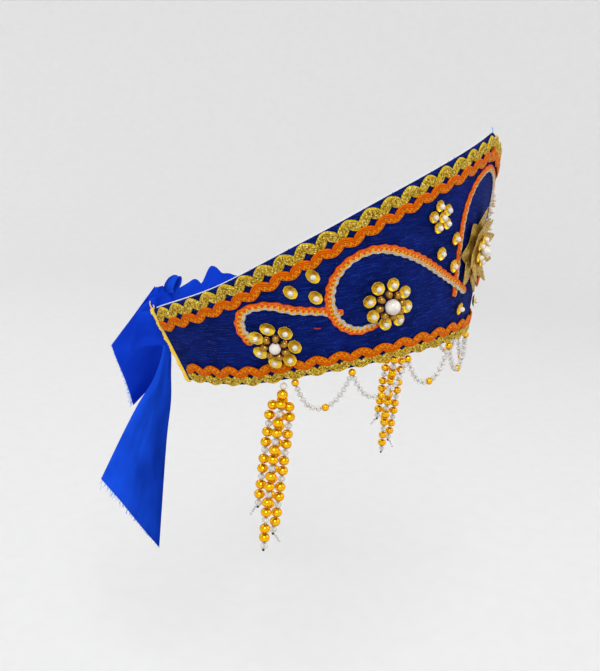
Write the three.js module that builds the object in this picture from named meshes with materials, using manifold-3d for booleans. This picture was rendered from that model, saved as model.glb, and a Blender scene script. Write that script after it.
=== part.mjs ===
// A kokoshnik: a stiff band of dark blue brocade that rises to a point over the brow, edged with
// ric-rac braid and sewn with scrolls, sequins and pearls, with swags of beads along its rim,
// a netted pendant at each temple and a satin ribbon tied behind the head.
//
// Millimetres, as worn: +Z up, the face towards -Y, the wearer's left towards +X.
// The origin is the middle of the head opening, at the height of the brow.

import * as THREE from "three";
import { mergeVertices } from "three/addons/utils/BufferGeometryUtils.js";
import Module from "manifold-3d";

const wasm = await Module();
wasm.setup();

// The band
const RIM_HALF = 149.6; // along the rim from the middle of the brow to a back end
const BROW_Y = -88;
const BAND_WALL = 1.6;
const LINING_WALL = 0.9;
const LINING_RISE = 0.7; // how far the white lining shows above the brocade
const GAP = 0.3;
const BAND_PANELS = 36;

// One half of the band at even steps from the middle of the brow to the back end.
// heading: turn of the rim in plan; rise: height of the rim; wall: slant height of the band;
// lean: tilt outwards; sweep: shift of the top edge towards the back
const STATIONS = [
  { heading: 0, rise: 13.5, wall: 96.8, lean: 2.3, sweep: 0 },
  { heading: 26.5, rise: 11.8, wall: 89.1, lean: 4.3, sweep: -1.5 },
  { heading: 45.2, rise: 6.6, wall: 79.4, lean: 9, sweep: 0.9 },
  { heading: 62.8, rise: 0, wall: 63.8, lean: 11.5, sweep: 5.1 },
  { heading: 88.2, rise: -8.3, wall: 46.6, lean: 14, sweep: 10.6 },
  { heading: 102.8, rise: -13, wall: 33.8, lean: 16.3, sweep: 16.6 },
];

// Braids
const RICRAC_THICK = 1;
const RICRAC_SAMPLES = 4; // points to a wave
const TOP_WAVES = 40;
const RIM_WAVES = 30;
const TRIM_END = 2.4; // the trims stop this far short of the back ends
// inset: from that edge of the band to the middle of the braid; swing: half the depth of its waves
const RICRACS = [
  { name: "ricrac_top_gold", edge: "top", inset: 3.7, width: 3, swing: 1.8, colour: "gold" },
  { name: "ricrac_top_orange", edge: "top", inset: 9.6, width: 3, swing: 1.8, colour: "orange" },
  { name: "ricrac_rim_orange", edge: "bottom", inset: 7.2, width: 2.6, swing: 1.5, colour: "orange" },
  { name: "ricrac_rim_gold", edge: "bottom", inset: 2, width: 2.6, swing: 1.5, colour: "gold" },
];
const SCROLL_WIDTH = 4.2;
const SCROLL_THICK = 1.3;
const END_CORD = 1.8;

// Routes of the scrolls: along the rim from the middle of the brow, and up the wall
const LARGE_SCROLL = [
  { along: 60, up: 20 },
  { along: 69, up: 18.6 },
  { along: 77, up: 24 },
  { along: 81, up: 34 },
  { along: 80, up: 45 },
  { along: 74, up: 53.2 },
  { along: 64, up: 55.6 },
  { along: 50, up: 49.6 },
  { along: 31, up: 37 },
  { along: 20.6, up: 30.7 },
];
const SMALL_SCROLL = [
  { along: 110.4, up: 20 },
  { along: 113.4, up: 28.5 },
  { along: 111, up: 36 },
  { along: 103, up: 37.4 },
  { along: 94, up: 33.5 },
  { along: 85.6, up: 31.2 },
];
const BROW_TIP = [
  { along: 14, up: 26.8 },
  { along: 7, up: 23.4 },
];
const ONION = [
  { along: 17.5, up: 22 },
  { along: 15.6, up: 30 },
  { along: 18, up: 38 },
  { along: 20.6, up: 52 },
  { along: 20.8, up: 62 },
  { along: 18.4, up: 70.6 },
  { along: 12, up: 77.6 },
  { along: 0, up: 81.4 },
];

// Sequins and pearls
const CUP_RADIUS = 3;
const CUP_DEPTH = 1;
const CUP_PEARL = 1.5;
const CUP_FOOT = 0.62; // share of a cup's radius that rests flat
const RIM_STEP = 0.1; // how far the inside of a cup is below its rim
const ROSETTE_PLATE = 0.4; // felt under the pearl of a rosette
const BRONZE_OVERLAP = 2; // how far the ring of bronze beads reaches under the cups round it
const SIDES = 10;
const LONE_SEQUINS = [
  { along: 94.8, up: 42.6 },
  { along: 87.5, up: 48.4 },
  { along: 86.4, up: 38.4 },
  { along: 34.1, up: 46.6 },
  { along: 26.1, up: 52 },
  { along: 24, up: 38.9 },
  { along: 11.7, up: 16.1 },
];
// Rosettes: so many cups of one radius on a circle, the first at the angle given in degrees,
// round a ring of bronze beads and a pearl; lift: how far it stands off the wall, on the braid
const ON_SCROLL = 2 * GAP + SCROLL_THICK;
const ON_RICRAC = 2 * GAP + RICRAC_THICK;
const ROSETTES = [
  {
    name: "rosette_back",
    along: 101,
    up: 18.8,
    cups: 7,
    radius: 3,
    circle: 8.2,
    first: 20,
    pearl: 2.65,
    bronze: 2,
    lift: ON_RICRAC,
  },
  {
    name: "rosette_side",
    along: 58,
    up: 29.8,
    cups: 8,
    radius: 3,
    circle: 9.2,
    first: 2,
    pearl: 3.5,
    bronze: 1.9,
    lift: ON_SCROLL,
  },
  {
    name: "rosette_upper",
    along: 37,
    up: 64.2,
    cups: 5,
    radius: 2.6,
    circle: 5,
    first: -10,
    pearl: 0,
    bronze: 0,
    lift: GAP,
  },
];

// The leaves over the brow: so many of one reach and half width in each star, the star's middle
// and the tips of its leaves standing off the wall by base and base + lift
const MEDALLION_UP = 43;
const LEAF_RINGS = [
  { leaves: 8, reach: 21, wide: 3.6, base: 1.2, lift: 3, turn: 0 },
  { leaves: 8, reach: 16, wide: 2.8, base: 1.6, lift: 4.4, turn: 22.5 },
];
const LEAF_THICK = 0.6;
const LEAF_CURL = 0.15; // share of its lift that a leaf has gained at its widest place
const LEAF_ROOT = 0.3; // shares of its reach where a leaf parts from the next and is widest
const LEAF_BELLY = 0.5;
const MEDALLION_CUPS = { count: 6, radius: 2.6, circle: 4.9, seat: 2.7 };
const MEDALLION_PEARL = 2.5;

// Beads along the rim
const SWAG_SPAN = 27.6;
const SWAG_SAG = 14.5;
const SWAG_STRING = 3;
const SWAG_BEAD = 1.7;
const SWAG_SQUARE = 2.4; // a swag hangs as 1 - |x| to this power
const SWAG_STEPS = 6;
const STRING_SIDES = 8;
const RIM_BEAD_DROP = 2.1;
const SWAGS = 7;

// Pendants at the temples
const PENDANT_ALONG = 100.6;
const PENDANT_TILT = 2;
const PENDANT_DROP = 0.8; // below the rim, clear of the braid
const PENDANT_WHITE = 1.8;
const PENDANT_GOLD = 2.4;
const NET_LENGTH = 51;
const NET_LOBE = 6.6;
const NET_WAIST = 4.6;
const NET_PERIOD = 13.2;
const NET_COLUMNS = 4;
const NET_STAGGER = 0.5; // how much wider a column is at its gold beads
const NET_RINGS = 9;
const NET_CORNERS = 12;
const NET_THROAT = 0.7; // share of its width that the net has at its top
const BEAD_NECK = 0.4; // share of a bead's radius at its hole
// Strings below the net: where each leaves it and where its last bead hangs
const PENDANT_ENDS = [
  { fromX: -3.6, fromY: 0, down: 9, toX: -4.6, toY: 3 },
  { fromX: 3.6, fromY: 0, down: 8, toX: 5, toY: -2.4 },
  { fromX: 0, fromY: -3.6, down: 20, toX: 0, toY: -4.4 },
  { fromX: 0, fromY: 3.6, down: 26, toX: 0.6, toY: 3.4 },
];

// Satin ribbon
const RIBBON_WALL = 1.2;
const KNOT = { x: 0, y: 89, z: -1, wide: 9.4, deep: 7.2, high: 11 };
const TIE_WIDE = 29;
const TIE_BULGE = 0.6;
const TIE_SEWN = [0.9, 0.95, 1]; // places of the band where the tie is sewn inside it
// Middle of each tie behind the band, and how wide it is there; the right one is drawn together
const TIE_ROUTES = {
  right: [
    { x: -75, y: 46, z: 3, high: 30 },
    { x: -67, y: 58, z: -1.5, high: 23 },
    { x: -54, y: 69, z: -5, high: 18 },
    { x: -40, y: 77, z: -5, high: 16 },
    { x: -25, y: 83, z: -3, high: 16 },
    { x: -9.8, y: 88, z: -1, high: 13 },
  ],
  left: [
    { x: 75, y: 46, z: 3, high: 30 },
    { x: 67, y: 58, z: 2, high: 31 },
    { x: 54, y: 69, z: 1, high: 30 },
    { x: 40, y: 77, z: 0, high: 31 },
    { x: 25, y: 83, z: -1, high: 26 },
    { x: 9.8, y: 88, z: -1, high: 13 },
  ],
};
// Each row gives the two edges of the ribbon at one fold, and how far its middle bulges
const SHORT_TAIL = [
  { ax: 4, ay: 97.1, az: 8.3, bx: 9, by: 97.4, bz: -20, bulge: 0.4 },
  { ax: -4, ay: 98, az: 1, bx: 6.5, by: 97.6, bz: -31, bulge: 1 },
  { ax: -14, ay: 99.5, az: -8.5, bx: 1, by: 98, bz: -44, bulge: 1.6 },
  { ax: -27.7, ay: 102, az: -21.4, bx: -6.9, by: 98.5, bz: -60.7, bulge: 0 },
];
const LONG_TAIL = [
  { ax: -4, ay: 90, az: -12.4, bx: 4, by: 88, bz: -12.4, bulge: 1 },
  { ax: -7, ay: 90, az: -25, bx: 8, by: 86.5, bz: -28, bulge: 2.5 },
  { ax: -11, ay: 91, az: -50, bx: 8.6, by: 86, bz: -52, bulge: 3 },
  { ax: -23, ay: 96, az: -74, bx: 6.5, by: 86, bz: -88, bulge: 2 },
  { ax: -34.9, ay: 102, az: -100, bx: 0.2, by: 84, bz: -153.5, bulge: 0 },
];
const UPRIGHT_LOOP = [
  { ax: -1, ay: 82, az: 10.1, bx: -1, by: 92, bz: 10.1, bulge: 0 },
  { ax: -3, ay: 80, az: 16, bx: -3, by: 94, bz: 15, bulge: 0 },
  { ax: 1, ay: 79, az: 21, bx: 1, by: 95, bz: 19, bulge: 0 },
  { ax: 6, ay: 80, az: 20, bx: 6, by: 95, bz: 18, bulge: 0 },
  { ax: 7, ay: 81, az: 14, bx: 7, by: 94, bz: 13, bulge: 0 },
  { ax: 4, ay: 82.5, az: 9.3, bx: 4, by: 92, bz: 9.3, bulge: 0 },
];

// Materials
const MATERIALS = {
  brocade: new THREE.MeshStandardMaterial({ color: 0x141f72, roughness: 0.7 }),
  lining: new THREE.MeshStandardMaterial({ color: 0xeceef2, roughness: 0.9 }),
  gold: new THREE.MeshStandardMaterial({ color: 0xc9a62a, roughness: 0.5, metalness: 0.4 }),
  orange: new THREE.MeshStandardMaterial({ color: 0xe6660f, roughness: 0.7 }),
  sequin: new THREE.MeshStandardMaterial({ color: 0xd9a520, roughness: 0.25, metalness: 0.9 }),
  leaf: new THREE.MeshStandardMaterial({ color: 0xb49132, roughness: 0.45, metalness: 0.7 }),
  pearl: new THREE.MeshStandardMaterial({ color: 0xf2efe8, roughness: 0.25 }),
  beads: new THREE.MeshStandardMaterial({ color: 0xffb914, roughness: 0.2, metalness: 0.8 }),
  satin: new THREE.MeshStandardMaterial({ color: 0x1a3cc8, roughness: 0.35 }),
};

const kokoshnik = new THREE.Group();

function addPiece(name, geometry, material) {
  const mesh = new THREE.Mesh(geometry, material);
  mesh.name = name;
  kokoshnik.add(mesh);
  return mesh;
}

const radians = THREE.MathUtils.degToRad;

// Smooth curve through one column of the stations, mirrored at the brow with the sign given
function stationValue(column, u, mirror) {
  const rows = STATIONS.map((row) => row[column]);
  const last = rows.length - 1;
  const values = [mirror * rows[1], ...rows, 2 * rows[last] - rows[last - 1]];
  const place = Math.min(Math.max(u, 0), 1) * last;
  const i = Math.min(Math.floor(place), last - 1);
  const f = place - i;
  const [p0, p1, p2, p3] = values.slice(i, i + 4);
  return (
    0.5 *
    (2 * p1 +
      (p2 - p0) * f +
      (2 * p0 - 5 * p1 + 4 * p2 - p3) * f ** 2 +
      (3 * p1 - p0 - 3 * p2 + p3) * f ** 3)
  );
}

// The rim and the top edge of the wearer's left half, found by walking along the rim
const WALK = 240;
const HALF = walkTheRim();

function walkTheRim() {
  const half = [];
  const rim = new THREE.Vector2(0, BROW_Y);
  const step = RIM_HALF / WALK;
  for (let i = 0; i <= WALK; i++) {
    const u = i / WALK;
    if (i > 0) {
      const middle = radians(stationValue("heading", u - 0.5 / WALK, -1));
      rim.x += Math.cos(middle) * step;
      rim.y += Math.sin(middle) * step;
    }
    const heading = radians(stationValue("heading", u, -1));
    const lean = radians(stationValue("lean", u, 1));
    const wall = stationValue("wall", u, 1);
    const sweep = stationValue("sweep", u, -1);
    const bottom = new THREE.Vector3(rim.x, rim.y, stationValue("rise", u, 1));
    const outward = wall * Math.sin(lean);
    const top = new THREE.Vector3(
      bottom.x + outward * Math.sin(heading) + sweep * Math.cos(heading),
      bottom.y - outward * Math.cos(heading) + sweep * Math.sin(heading),
      bottom.z + wall * Math.cos(lean),
    );
    half.push({ bottom, top });
  }
  return half;
}

// Rim and top at a place a from -1, the wearer's right end, to 1, the left end
function ruling(a) {
  const place = Math.min(Math.abs(a), 1) * WALK;
  const i = Math.min(Math.floor(place), WALK - 1);
  const bottom = HALF[i].bottom.clone().lerp(HALF[i + 1].bottom, place - i);
  const top = HALF[i].top.clone().lerp(HALF[i + 1].top, place - i);
  if (a < 0) {
    bottom.x = -bottom.x;
    top.x = -top.x;
  }
  return { bottom, top };
}

function wallHeight(a) {
  const { bottom, top } = ruling(a);
  return bottom.distanceTo(top);
}

// Directions on the wall: along it, up it, and straight out of it
function wallFrame(a, up) {
  const small = 1 / WALK;
  const near = Math.max(a - small, -1);
  const far = Math.min(a + small, 1);
  const { bottom, top } = ruling(a);
  const fraction = up / bottom.distanceTo(top);
  const before = ruling(near);
  const after = ruling(far);
  const step = after.bottom
    .lerp(after.top, fraction)
    .sub(before.bottom.lerp(before.top, fraction))
    .divideScalar(far - near);
  const rise = top.clone().sub(bottom).normalize();
  const out = step.clone().cross(rise).normalize();
  return { point: bottom.lerp(top, fraction), step, rise, out };
}

function wallPoint(a, up, out) {
  const frame = wallFrame(a, up);
  return frame.point.addScaledVector(frame.out, out);
}

// The place on the wall that lies so far to the side of a place and above it
function besideOnWall(a, up, aside, above) {
  const { step, rise, out } = wallFrame(a, up);
  const level = rise.clone().cross(out).normalize();
  const move = aside / step.dot(level);
  return { a: a + move, up: up + above - move * step.dot(rise) };
}

// Solids

// One closed surface from corners and faces, turned so that its faces point out
function closedSolid(points, faces) {
  const normal = new THREE.Vector3();
  let volume = 0;
  for (const [i, j, k] of faces) {
    volume += normal.copy(points[i]).cross(points[j]).dot(points[k]);
  }
  const ordered = volume < 0 ? faces.map(([i, j, k]) => [i, k, j]) : faces;
  const geometry = new THREE.BufferGeometry().setFromPoints(points);
  geometry.setIndex(ordered.flat());
  geometry.computeVertexNormals();
  return geometry;
}

// A sheet with thickness: two grids of points, face to back, closed round their border.
// Its quads are split the same way on both faces, and mirrored about the middle row.
function shell(face, back) {
  const rows = face.length;
  const columns = face[0].length;
  const points = [...face.flat(), ...back.flat()];
  const at = (i, j, side) => side * rows * columns + i * columns + j;
  const faces = [];
  const quad = (p, q, r, s) => faces.push([p, q, r], [p, r, s]);
  for (let i = 0; i < rows - 1; i++) {
    for (let j = 0; j < columns - 1; j++) {
      if (i < (rows - 1) / 2) {
        quad(at(i, j, 0), at(i + 1, j, 0), at(i + 1, j + 1, 0), at(i, j + 1, 0));
        quad(at(i, j, 1), at(i, j + 1, 1), at(i + 1, j + 1, 1), at(i + 1, j, 1));
      } else {
        quad(at(i + 1, j, 0), at(i + 1, j + 1, 0), at(i, j + 1, 0), at(i, j, 0));
        quad(at(i + 1, j, 1), at(i, j, 1), at(i, j + 1, 1), at(i + 1, j + 1, 1));
      }
    }
    quad(at(i, 0, 1), at(i + 1, 0, 1), at(i + 1, 0, 0), at(i, 0, 0));
    const j = columns - 1;
    quad(at(i, j, 0), at(i + 1, j, 0), at(i + 1, j, 1), at(i, j, 1));
  }
  for (let j = 0; j < columns - 1; j++) {
    quad(at(0, j, 0), at(0, j + 1, 0), at(0, j + 1, 1), at(0, j, 1));
    const i = rows - 1;
    quad(at(i, j, 1), at(i, j + 1, 1), at(i, j + 1, 0), at(i, j, 0));
  }
  return closedSolid(points, faces);
}

// A solid through a row of sections with the same number of corners
function loft(sections) {
  const corners = sections[0].length;
  const points = sections.flat();
  const faces = [];
  for (let i = 0; i < sections.length - 1; i++) {
    for (let j = 0; j < corners; j++) {
      const p = i * corners + j;
      const q = i * corners + ((j + 1) % corners);
      faces.push([p, q, q + corners], [p, q + corners, p + corners]);
    }
  }
  const end = (sections.length - 1) * corners;
  for (let j = 1; j < corners - 1; j++) {
    faces.push([0, j + 1, j], [end, end + j, end + j + 1]);
  }
  return closedSolid(points, faces);
}

function toSolid(geometry) {
  const plain = geometry.clone();
  plain.deleteAttribute("normal");
  plain.deleteAttribute("uv");
  const merged = mergeVertices(plain, 1e-4);
  return new wasm.Manifold(
    new wasm.Mesh({
      numProp: 3,
      vertProperties: merged.attributes.position.array,
      triVerts: new Uint32Array(merged.index.array),
    }),
  );
}

function fused(geometries) {
  const whole = geometries.map(toSolid).reduce((sum, part) => sum.add(part));
  const mesh = whole.getMesh();
  const geometry = new THREE.BufferGeometry();
  geometry.setAttribute("position", new THREE.BufferAttribute(mesh.vertProperties, 3));
  geometry.setIndex(new THREE.BufferAttribute(mesh.triVerts, 1));
  geometry.computeVertexNormals();
  return geometry;
}

// A pearl that stands on its pole at a height over the XY plane
function pearlOn(radius, height) {
  return new THREE.SphereGeometry(radius, SIDES, 4).rotateX(Math.PI / 2).translate(0, 0, radius + height);
}

function roundTube(points, diameter, sides, steps) {
  const outline = new THREE.Shape();
  for (let i = 0; i < sides; i++) {
    const angle = (2 * Math.PI * i) / sides;
    const x = (Math.cos(angle) * diameter) / 2;
    const y = (Math.sin(angle) * diameter) / 2;
    if (i === 0) outline.moveTo(x, y);
    else outline.lineTo(x, y);
  }
  outline.closePath();
  const path = new THREE.CatmullRomCurve3(points);
  return new THREE.ExtrudeGeometry(outline, { steps, extrudePath: path, bevelEnabled: false });
}

// Places a shape made on the XY plane, facing +Z, on the wall
function placedOnWall(geometry, a, up, lift) {
  const { point, rise, out } = wallFrame(a, up);
  const level = rise.clone().cross(out).normalize();
  const turned = new THREE.Matrix4().makeBasis(level, rise, out);
  turned.setPosition(point.addScaledVector(out, lift));
  return geometry.clone().applyMatrix4(turned);
}

// Bends such a shape so that it follows the wall round the place given
function bentOnWall(geometry, a, up, lift) {
  const bent = geometry.clone();
  const corners = bent.getAttribute("position");
  for (let i = 0; i < corners.count; i++) {
    const place = besideOnWall(a, up, corners.getX(i), corners.getY(i));
    const { x, y, z } = wallPoint(place.a, place.up, lift + corners.getZ(i));
    corners.setXYZ(i, x, y, z);
  }
  bent.computeVertexNormals();
  return bent;
}

// Crown

function bandLayer(outside, inside, rise) {
  const face = [];
  const back = [];
  for (let i = 0; i <= BAND_PANELS; i++) {
    const a = (2 * i) / BAND_PANELS - 1;
    const top = wallHeight(a) + rise;
    const levels = [0, top];
    face.push(levels.map((up) => wallPoint(a, up, outside)));
    back.push(levels.map((up) => wallPoint(a, up, inside)));
  }
  return shell(face, back);
}

const liningFace = -(BAND_WALL + GAP);
const liningBack = liningFace - LINING_WALL;
addPiece("crown_band", bandLayer(0, -BAND_WALL, 0), MATERIALS.brocade);
addPiece("crown_lining", bandLayer(liningFace, liningBack, LINING_RISE), MATERIALS.lining);

// Braids

// Ridge of braid laid on the wall along a row of places, mitred at its bends
function braid(places, width, thick) {
  const middles = places.map(({ point }) => point);
  const sections = places.map(({ point, out }, i) => {
    const before = middles[Math.max(i - 1, 0)];
    const after = middles[Math.min(i + 1, middles.length - 1)];
    const inward = point.clone().sub(before).normalize();
    const onward = after.clone().sub(point).normalize();
    const along = inward.clone().add(onward).normalize();
    const mitre = Math.max(along.dot(i === 0 ? onward : inward), 0.6);
    const aside = out.clone().cross(along).normalize();
    const half = width / 2 / mitre;
    return [
      point.clone().addScaledVector(aside, -half).addScaledVector(out, GAP),
      point.clone().addScaledVector(aside, half).addScaledVector(out, GAP),
      point.clone().addScaledVector(out, GAP + thick),
    ];
  });
  return loft(sections);
}

// Places along an edge of the band, evenly spaced by their distance along it
function edgePlaces(edge, count, short) {
  const line = [];
  let length = 0;
  for (let i = -WALK; i <= WALK; i++) {
    const a = i / WALK;
    const point = ruling(a)[edge];
    if (line.length > 0) length += point.distanceTo(line[line.length - 1].point);
    line.push({ a, point, length });
  }
  const places = [];
  for (let i = 0; i <= count; i++) {
    const wanted = short + ((length - 2 * short) * i) / count;
    const after = Math.max(
      line.findIndex((row) => row.length >= wanted),
      1,
    );
    const low = line[after - 1];
    const high = line[after];
    const f = (wanted - low.length) / (high.length - low.length);
    places.push(low.a + (high.a - low.a) * f);
  }
  return places;
}

function ricrac({ name, edge, inset, width, swing, colour }) {
  const waves = edge === "top" ? TOP_WAVES : RIM_WAVES;
  const facing = edge === "top" ? -1 : 1;
  const start = colour === "gold" ? 0 : Math.PI;
  const count = waves * RICRAC_SAMPLES;
  const places = edgePlaces(edge, count, TRIM_END).map((a, i) => {
    const level = edge === "top" ? wallHeight(a) : 0;
    const { point, out } = wallFrame(a, level);
    const small = 0.5 / WALK;
    const before = ruling(a - small)[edge];
    const along = ruling(a + small)[edge].sub(before).normalize();
    const across = out.clone().cross(along).normalize().multiplyScalar(facing);
    const phase = (2 * Math.PI * (i + 0.5)) / RICRAC_SAMPLES + start;
    const wave = swing * Math.cos(phase);
    return { point: point.addScaledVector(across, inset + wave), out };
  });
  addPiece(name, braid(places, width, RICRAC_THICK), MATERIALS[colour]);
}

RICRACS.forEach(ricrac);

function scrollPlaces(route, side, steps) {
  const curve = new THREE.CatmullRomCurve3(route.map(({ along, up }) => new THREE.Vector3(along, up, 0)));
  return curve.getPoints(steps).map(({ x, y }) => {
    const { point, out } = wallFrame((side * x) / RIM_HALF, y);
    return { point, out };
  });
}

const HANDS = [
  { hand: "right", side: -1 },
  { hand: "left", side: 1 },
];

for (const { hand, side } of HANDS) {
  const large = braid(scrollPlaces(LARGE_SCROLL, side, 32), SCROLL_WIDTH, SCROLL_THICK);
  const small = braid(scrollPlaces(SMALL_SCROLL, side, 16), SCROLL_WIDTH, SCROLL_THICK);
  addPiece("scroll_large_" + hand, large, MATERIALS.orange);
  addPiece("scroll_small_" + hand, small, MATERIALS.orange);
}

// The onion over the brow is one length of braid, with the tips of the large scrolls inside it
const otherHalf = ONION.slice(0, -1).map(({ along, up }) => ({ along: -along, up }));
const onionRoute = [...ONION, ...otherHalf.reverse()];
const browTips = HANDS.map(({ side }) =>
  braid(scrollPlaces([ONION[1], ...BROW_TIP], side, 4), SCROLL_WIDTH, SCROLL_THICK),
);
const onion = braid(scrollPlaces(onionRoute, 1, 40), SCROLL_WIDTH, SCROLL_THICK);
addPiece("scroll_brow", fused([onion, ...browTips]), MATERIALS.orange);

// Cords over the cut ends of the band
for (const { hand, side } of HANDS) {
  const points = [0, 0.33, 0.66, 1].map((fraction) => {
    const { point, step, out } = wallFrame(side, fraction * wallHeight(side));
    const past = (GAP + END_CORD / 2) * side;
    return point.addScaledVector(step.normalize(), past).addScaledVector(out, liningBack / 2);
  });
  addPiece("end_cord_" + hand, roundTube(points, END_CORD, 8, 3), MATERIALS.gold);
}

// Sequins

// A shallow cup; its pearl is a bump of the radius given, or the plain peak of a cone for 0
function cup(radius, pearl) {
  const profile = [
    new THREE.Vector2(0, 0),
    new THREE.Vector2(radius * CUP_FOOT, 0),
    new THREE.Vector2(radius, CUP_DEPTH),
  ];
  if (pearl > 0) profile.push(new THREE.Vector2(pearl, CUP_DEPTH - RIM_STEP));
  profile.push(new THREE.Vector2(0, CUP_DEPTH - RIM_STEP + CUP_PEARL));
  return new THREE.LatheGeometry(profile, SIDES).rotateX(Math.PI / 2);
}

LONE_SEQUINS.forEach(({ along, up }, i) => {
  for (const { hand, side } of HANDS) {
    const { point, out } = wallFrame((side * along) / RIM_HALF, up);
    const mesh = addPiece(`sequin_${hand}_${i + 1}`, cup(CUP_RADIUS, CUP_PEARL), MATERIALS.sequin);
    mesh.position.copy(point).addScaledVector(out, GAP);
    mesh.quaternion.setFromUnitVectors(new THREE.Vector3(0, 0, 1), out);
  }
});

// A ring of bronze beads round a pearl, and the cups that it joins
function rosette({ name, along, up, cups, radius, circle, first, pearl, bronze, lift }, hand, side) {
  const a = (side * along) / RIM_HALF;
  const pieces = [];
  if (bronze > 0) {
    const inner = pearl + GAP;
    const outer = circle - radius + BRONZE_OVERLAP;
    const profile = [
      new THREE.Vector2(0, 0),
      new THREE.Vector2(outer, 0),
      new THREE.Vector2((inner + outer) / 2, bronze),
      new THREE.Vector2(inner, ROSETTE_PLATE),
      new THREE.Vector2(0, ROSETTE_PLATE),
    ];
    pieces.push(new THREE.LatheGeometry(profile, 2 * cups).rotateX(Math.PI / 2));
  } else {
    pieces.push(cup(radius, 0));
  }
  for (let i = 0; i < cups; i++) {
    const angle = radians(first + (360 * i) / cups);
    const x = side * circle * Math.cos(angle);
    pieces.push(cup(radius, 0).translate(x, circle * Math.sin(angle), 0));
  }
  addPiece(`${name}_${hand}`, bentOnWall(fused(pieces), a, up, lift), MATERIALS.sequin);
  if (pearl > 0) {
    const ball = pearlOn(pearl, ROSETTE_PLATE + GAP);
    addPiece(`${name}_pearl_${hand}`, placedOnWall(ball, a, up, lift), MATERIALS.pearl);
  }
}

for (const row of ROSETTES) {
  for (const { hand, side } of HANDS) rosette(row, hand, side);
}

// Leaves of gold cloth over the brow, in two stars one on the other

function leafStar({ leaves, reach, wide, base, lift, turn }) {
  const root = reach * LEAF_ROOT;
  const belly = reach * LEAF_BELLY;
  const spot = (angle, along, aside, out) => {
    const x = along * Math.cos(angle) - aside * Math.sin(angle);
    const y = along * Math.sin(angle) + aside * Math.cos(angle);
    return new THREE.Vector3(x, y, out);
  };
  const border = [];
  const half = Math.PI / leaves;
  for (let i = 0; i < leaves; i++) {
    const angle = radians(90 + turn) + 2 * half * i;
    border.push(spot(angle - half, root, 0, base));
    border.push(spot(angle, belly, -wide, base + lift * LEAF_CURL));
    border.push(spot(angle, reach, 0, base + lift));
    border.push(spot(angle, belly, wide, base + lift * LEAF_CURL));
  }
  const back = border.map((p) => p.clone().setZ(p.z - LEAF_THICK));
  const faces = [];
  const count = border.length;
  const centre = 2 * count;
  for (let i = 0; i < count; i++) {
    const j = (i + 1) % count;
    faces.push([i, i + count, j + count], [i, j + count, j]);
    if (i % 4 === 0 || i % 4 === 3) faces.push([centre, i, j], [centre + 1, j + count, i + count]);
  }
  for (let i = 1; i < count; i += 4) {
    faces.push([centre, i, i + 2], [i, i + 1, i + 2]);
    faces.push([centre + 1, i + 2 + count, i + count], [i + count, i + 2 + count, i + 1 + count]);
  }
  const middle = new THREE.Vector3(0, 0, base);
  const under = new THREE.Vector3(0, 0, base - LEAF_THICK);
  return closedSolid([...border, ...back, middle, under], faces);
}

function medallion() {
  const stars = fused(LEAF_RINGS.map(leafStar));
  addPiece("medallion_leaves", placedOnWall(stars, 0, MEDALLION_UP, GAP), MATERIALS.leaf);

  const cups = [];
  const { count, radius, circle, seat } = MEDALLION_CUPS;
  for (let i = 0; i < count; i++) {
    const angle = (2 * Math.PI * (i + 0.5)) / count;
    cups.push(cup(radius, 0).translate(circle * Math.cos(angle), circle * Math.sin(angle), seat));
  }
  addPiece("medallion_cups", placedOnWall(fused(cups), 0, MEDALLION_UP, GAP), MATERIALS.sequin);
  const reach = MEDALLION_PEARL + GAP;
  const height = seat + CUP_DEPTH + Math.sqrt(reach ** 2 - (circle - radius) ** 2) - MEDALLION_PEARL;
  const ball = pearlOn(MEDALLION_PEARL, height);
  addPiece("medallion_pearl", placedOnWall(ball, 0, MEDALLION_UP, GAP), MATERIALS.pearl);
}

medallion();

// Swags of beads along the rim

function underRim(along, drop) {
  const { bottom } = ruling(along / RIM_HALF);
  return bottom.setZ(bottom.z - drop);
}

// Depth of a swag below its gold beads at a fraction of its span
function swagDepth(fraction) {
  return SWAG_SAG * (1 - Math.abs(2 * fraction - 1) ** SWAG_SQUARE);
}

// Round sections along a row of points that lie under the rim, with a radius for each
function beadedString(rows) {
  const middles = rows.map(({ along, drop }) => underRim(along, drop));
  const sections = rows.map(({ radius }, i) => {
    const before = middles[Math.max(i - 1, 0)];
    const after = middles[Math.min(i + 1, rows.length - 1)];
    const onward = after.clone().sub(before).normalize();
    return circleOf(middles[i], onward, radius, STRING_SIDES);
  });
  return loft(sections);
}

function circleOf(centre, axis, radius, sides) {
  const first = new THREE.Vector3(0, 0, 1).cross(axis).normalize();
  const second = axis.clone().cross(first);
  const corners = [];
  for (let i = 0; i < sides; i++) {
    const angle = (2 * Math.PI * i) / sides;
    const corner = centre.clone().addScaledVector(first, radius * Math.cos(angle));
    corners.push(corner.addScaledVector(second, radius * Math.sin(angle)));
  }
  return corners;
}

// The right half holds the lowest bead of the middle swag, and the left half stops beside it
function garland(hand, side) {
  const rows = [];
  const last = (SWAGS * SWAG_STEPS) / 2;
  for (let i = 0; i <= last; i++) {
    const along = (i * SWAG_SPAN) / SWAG_STEPS;
    const fraction = (i / SWAG_STEPS + 0.5) % 1;
    const radius = i % (SWAG_STEPS / 2) === 0 ? SWAG_BEAD : SWAG_STRING / 2;
    rows.push({ along, drop: RIM_BEAD_DROP + swagDepth(fraction), radius });
  }
  if (side > 0) rows[0] = { ...rows[0], along: SWAG_BEAD + 2 * GAP, radius: SWAG_STRING / 2 };
  else rows.unshift({ along: -SWAG_BEAD, drop: rows[0].drop, radius: SWAG_STRING / 2 });
  rows.push({ along: rows[last].along + SWAG_BEAD, drop: RIM_BEAD_DROP, radius: SWAG_BEAD / 2 });
  const string = rows.map((row) => ({ ...row, along: side * row.along }));
  addPiece("swags_" + hand, beadedString(string), MATERIALS.beads);
}

for (const { hand, side } of HANDS) garland(hand, side);

// Netted pendants

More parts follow.
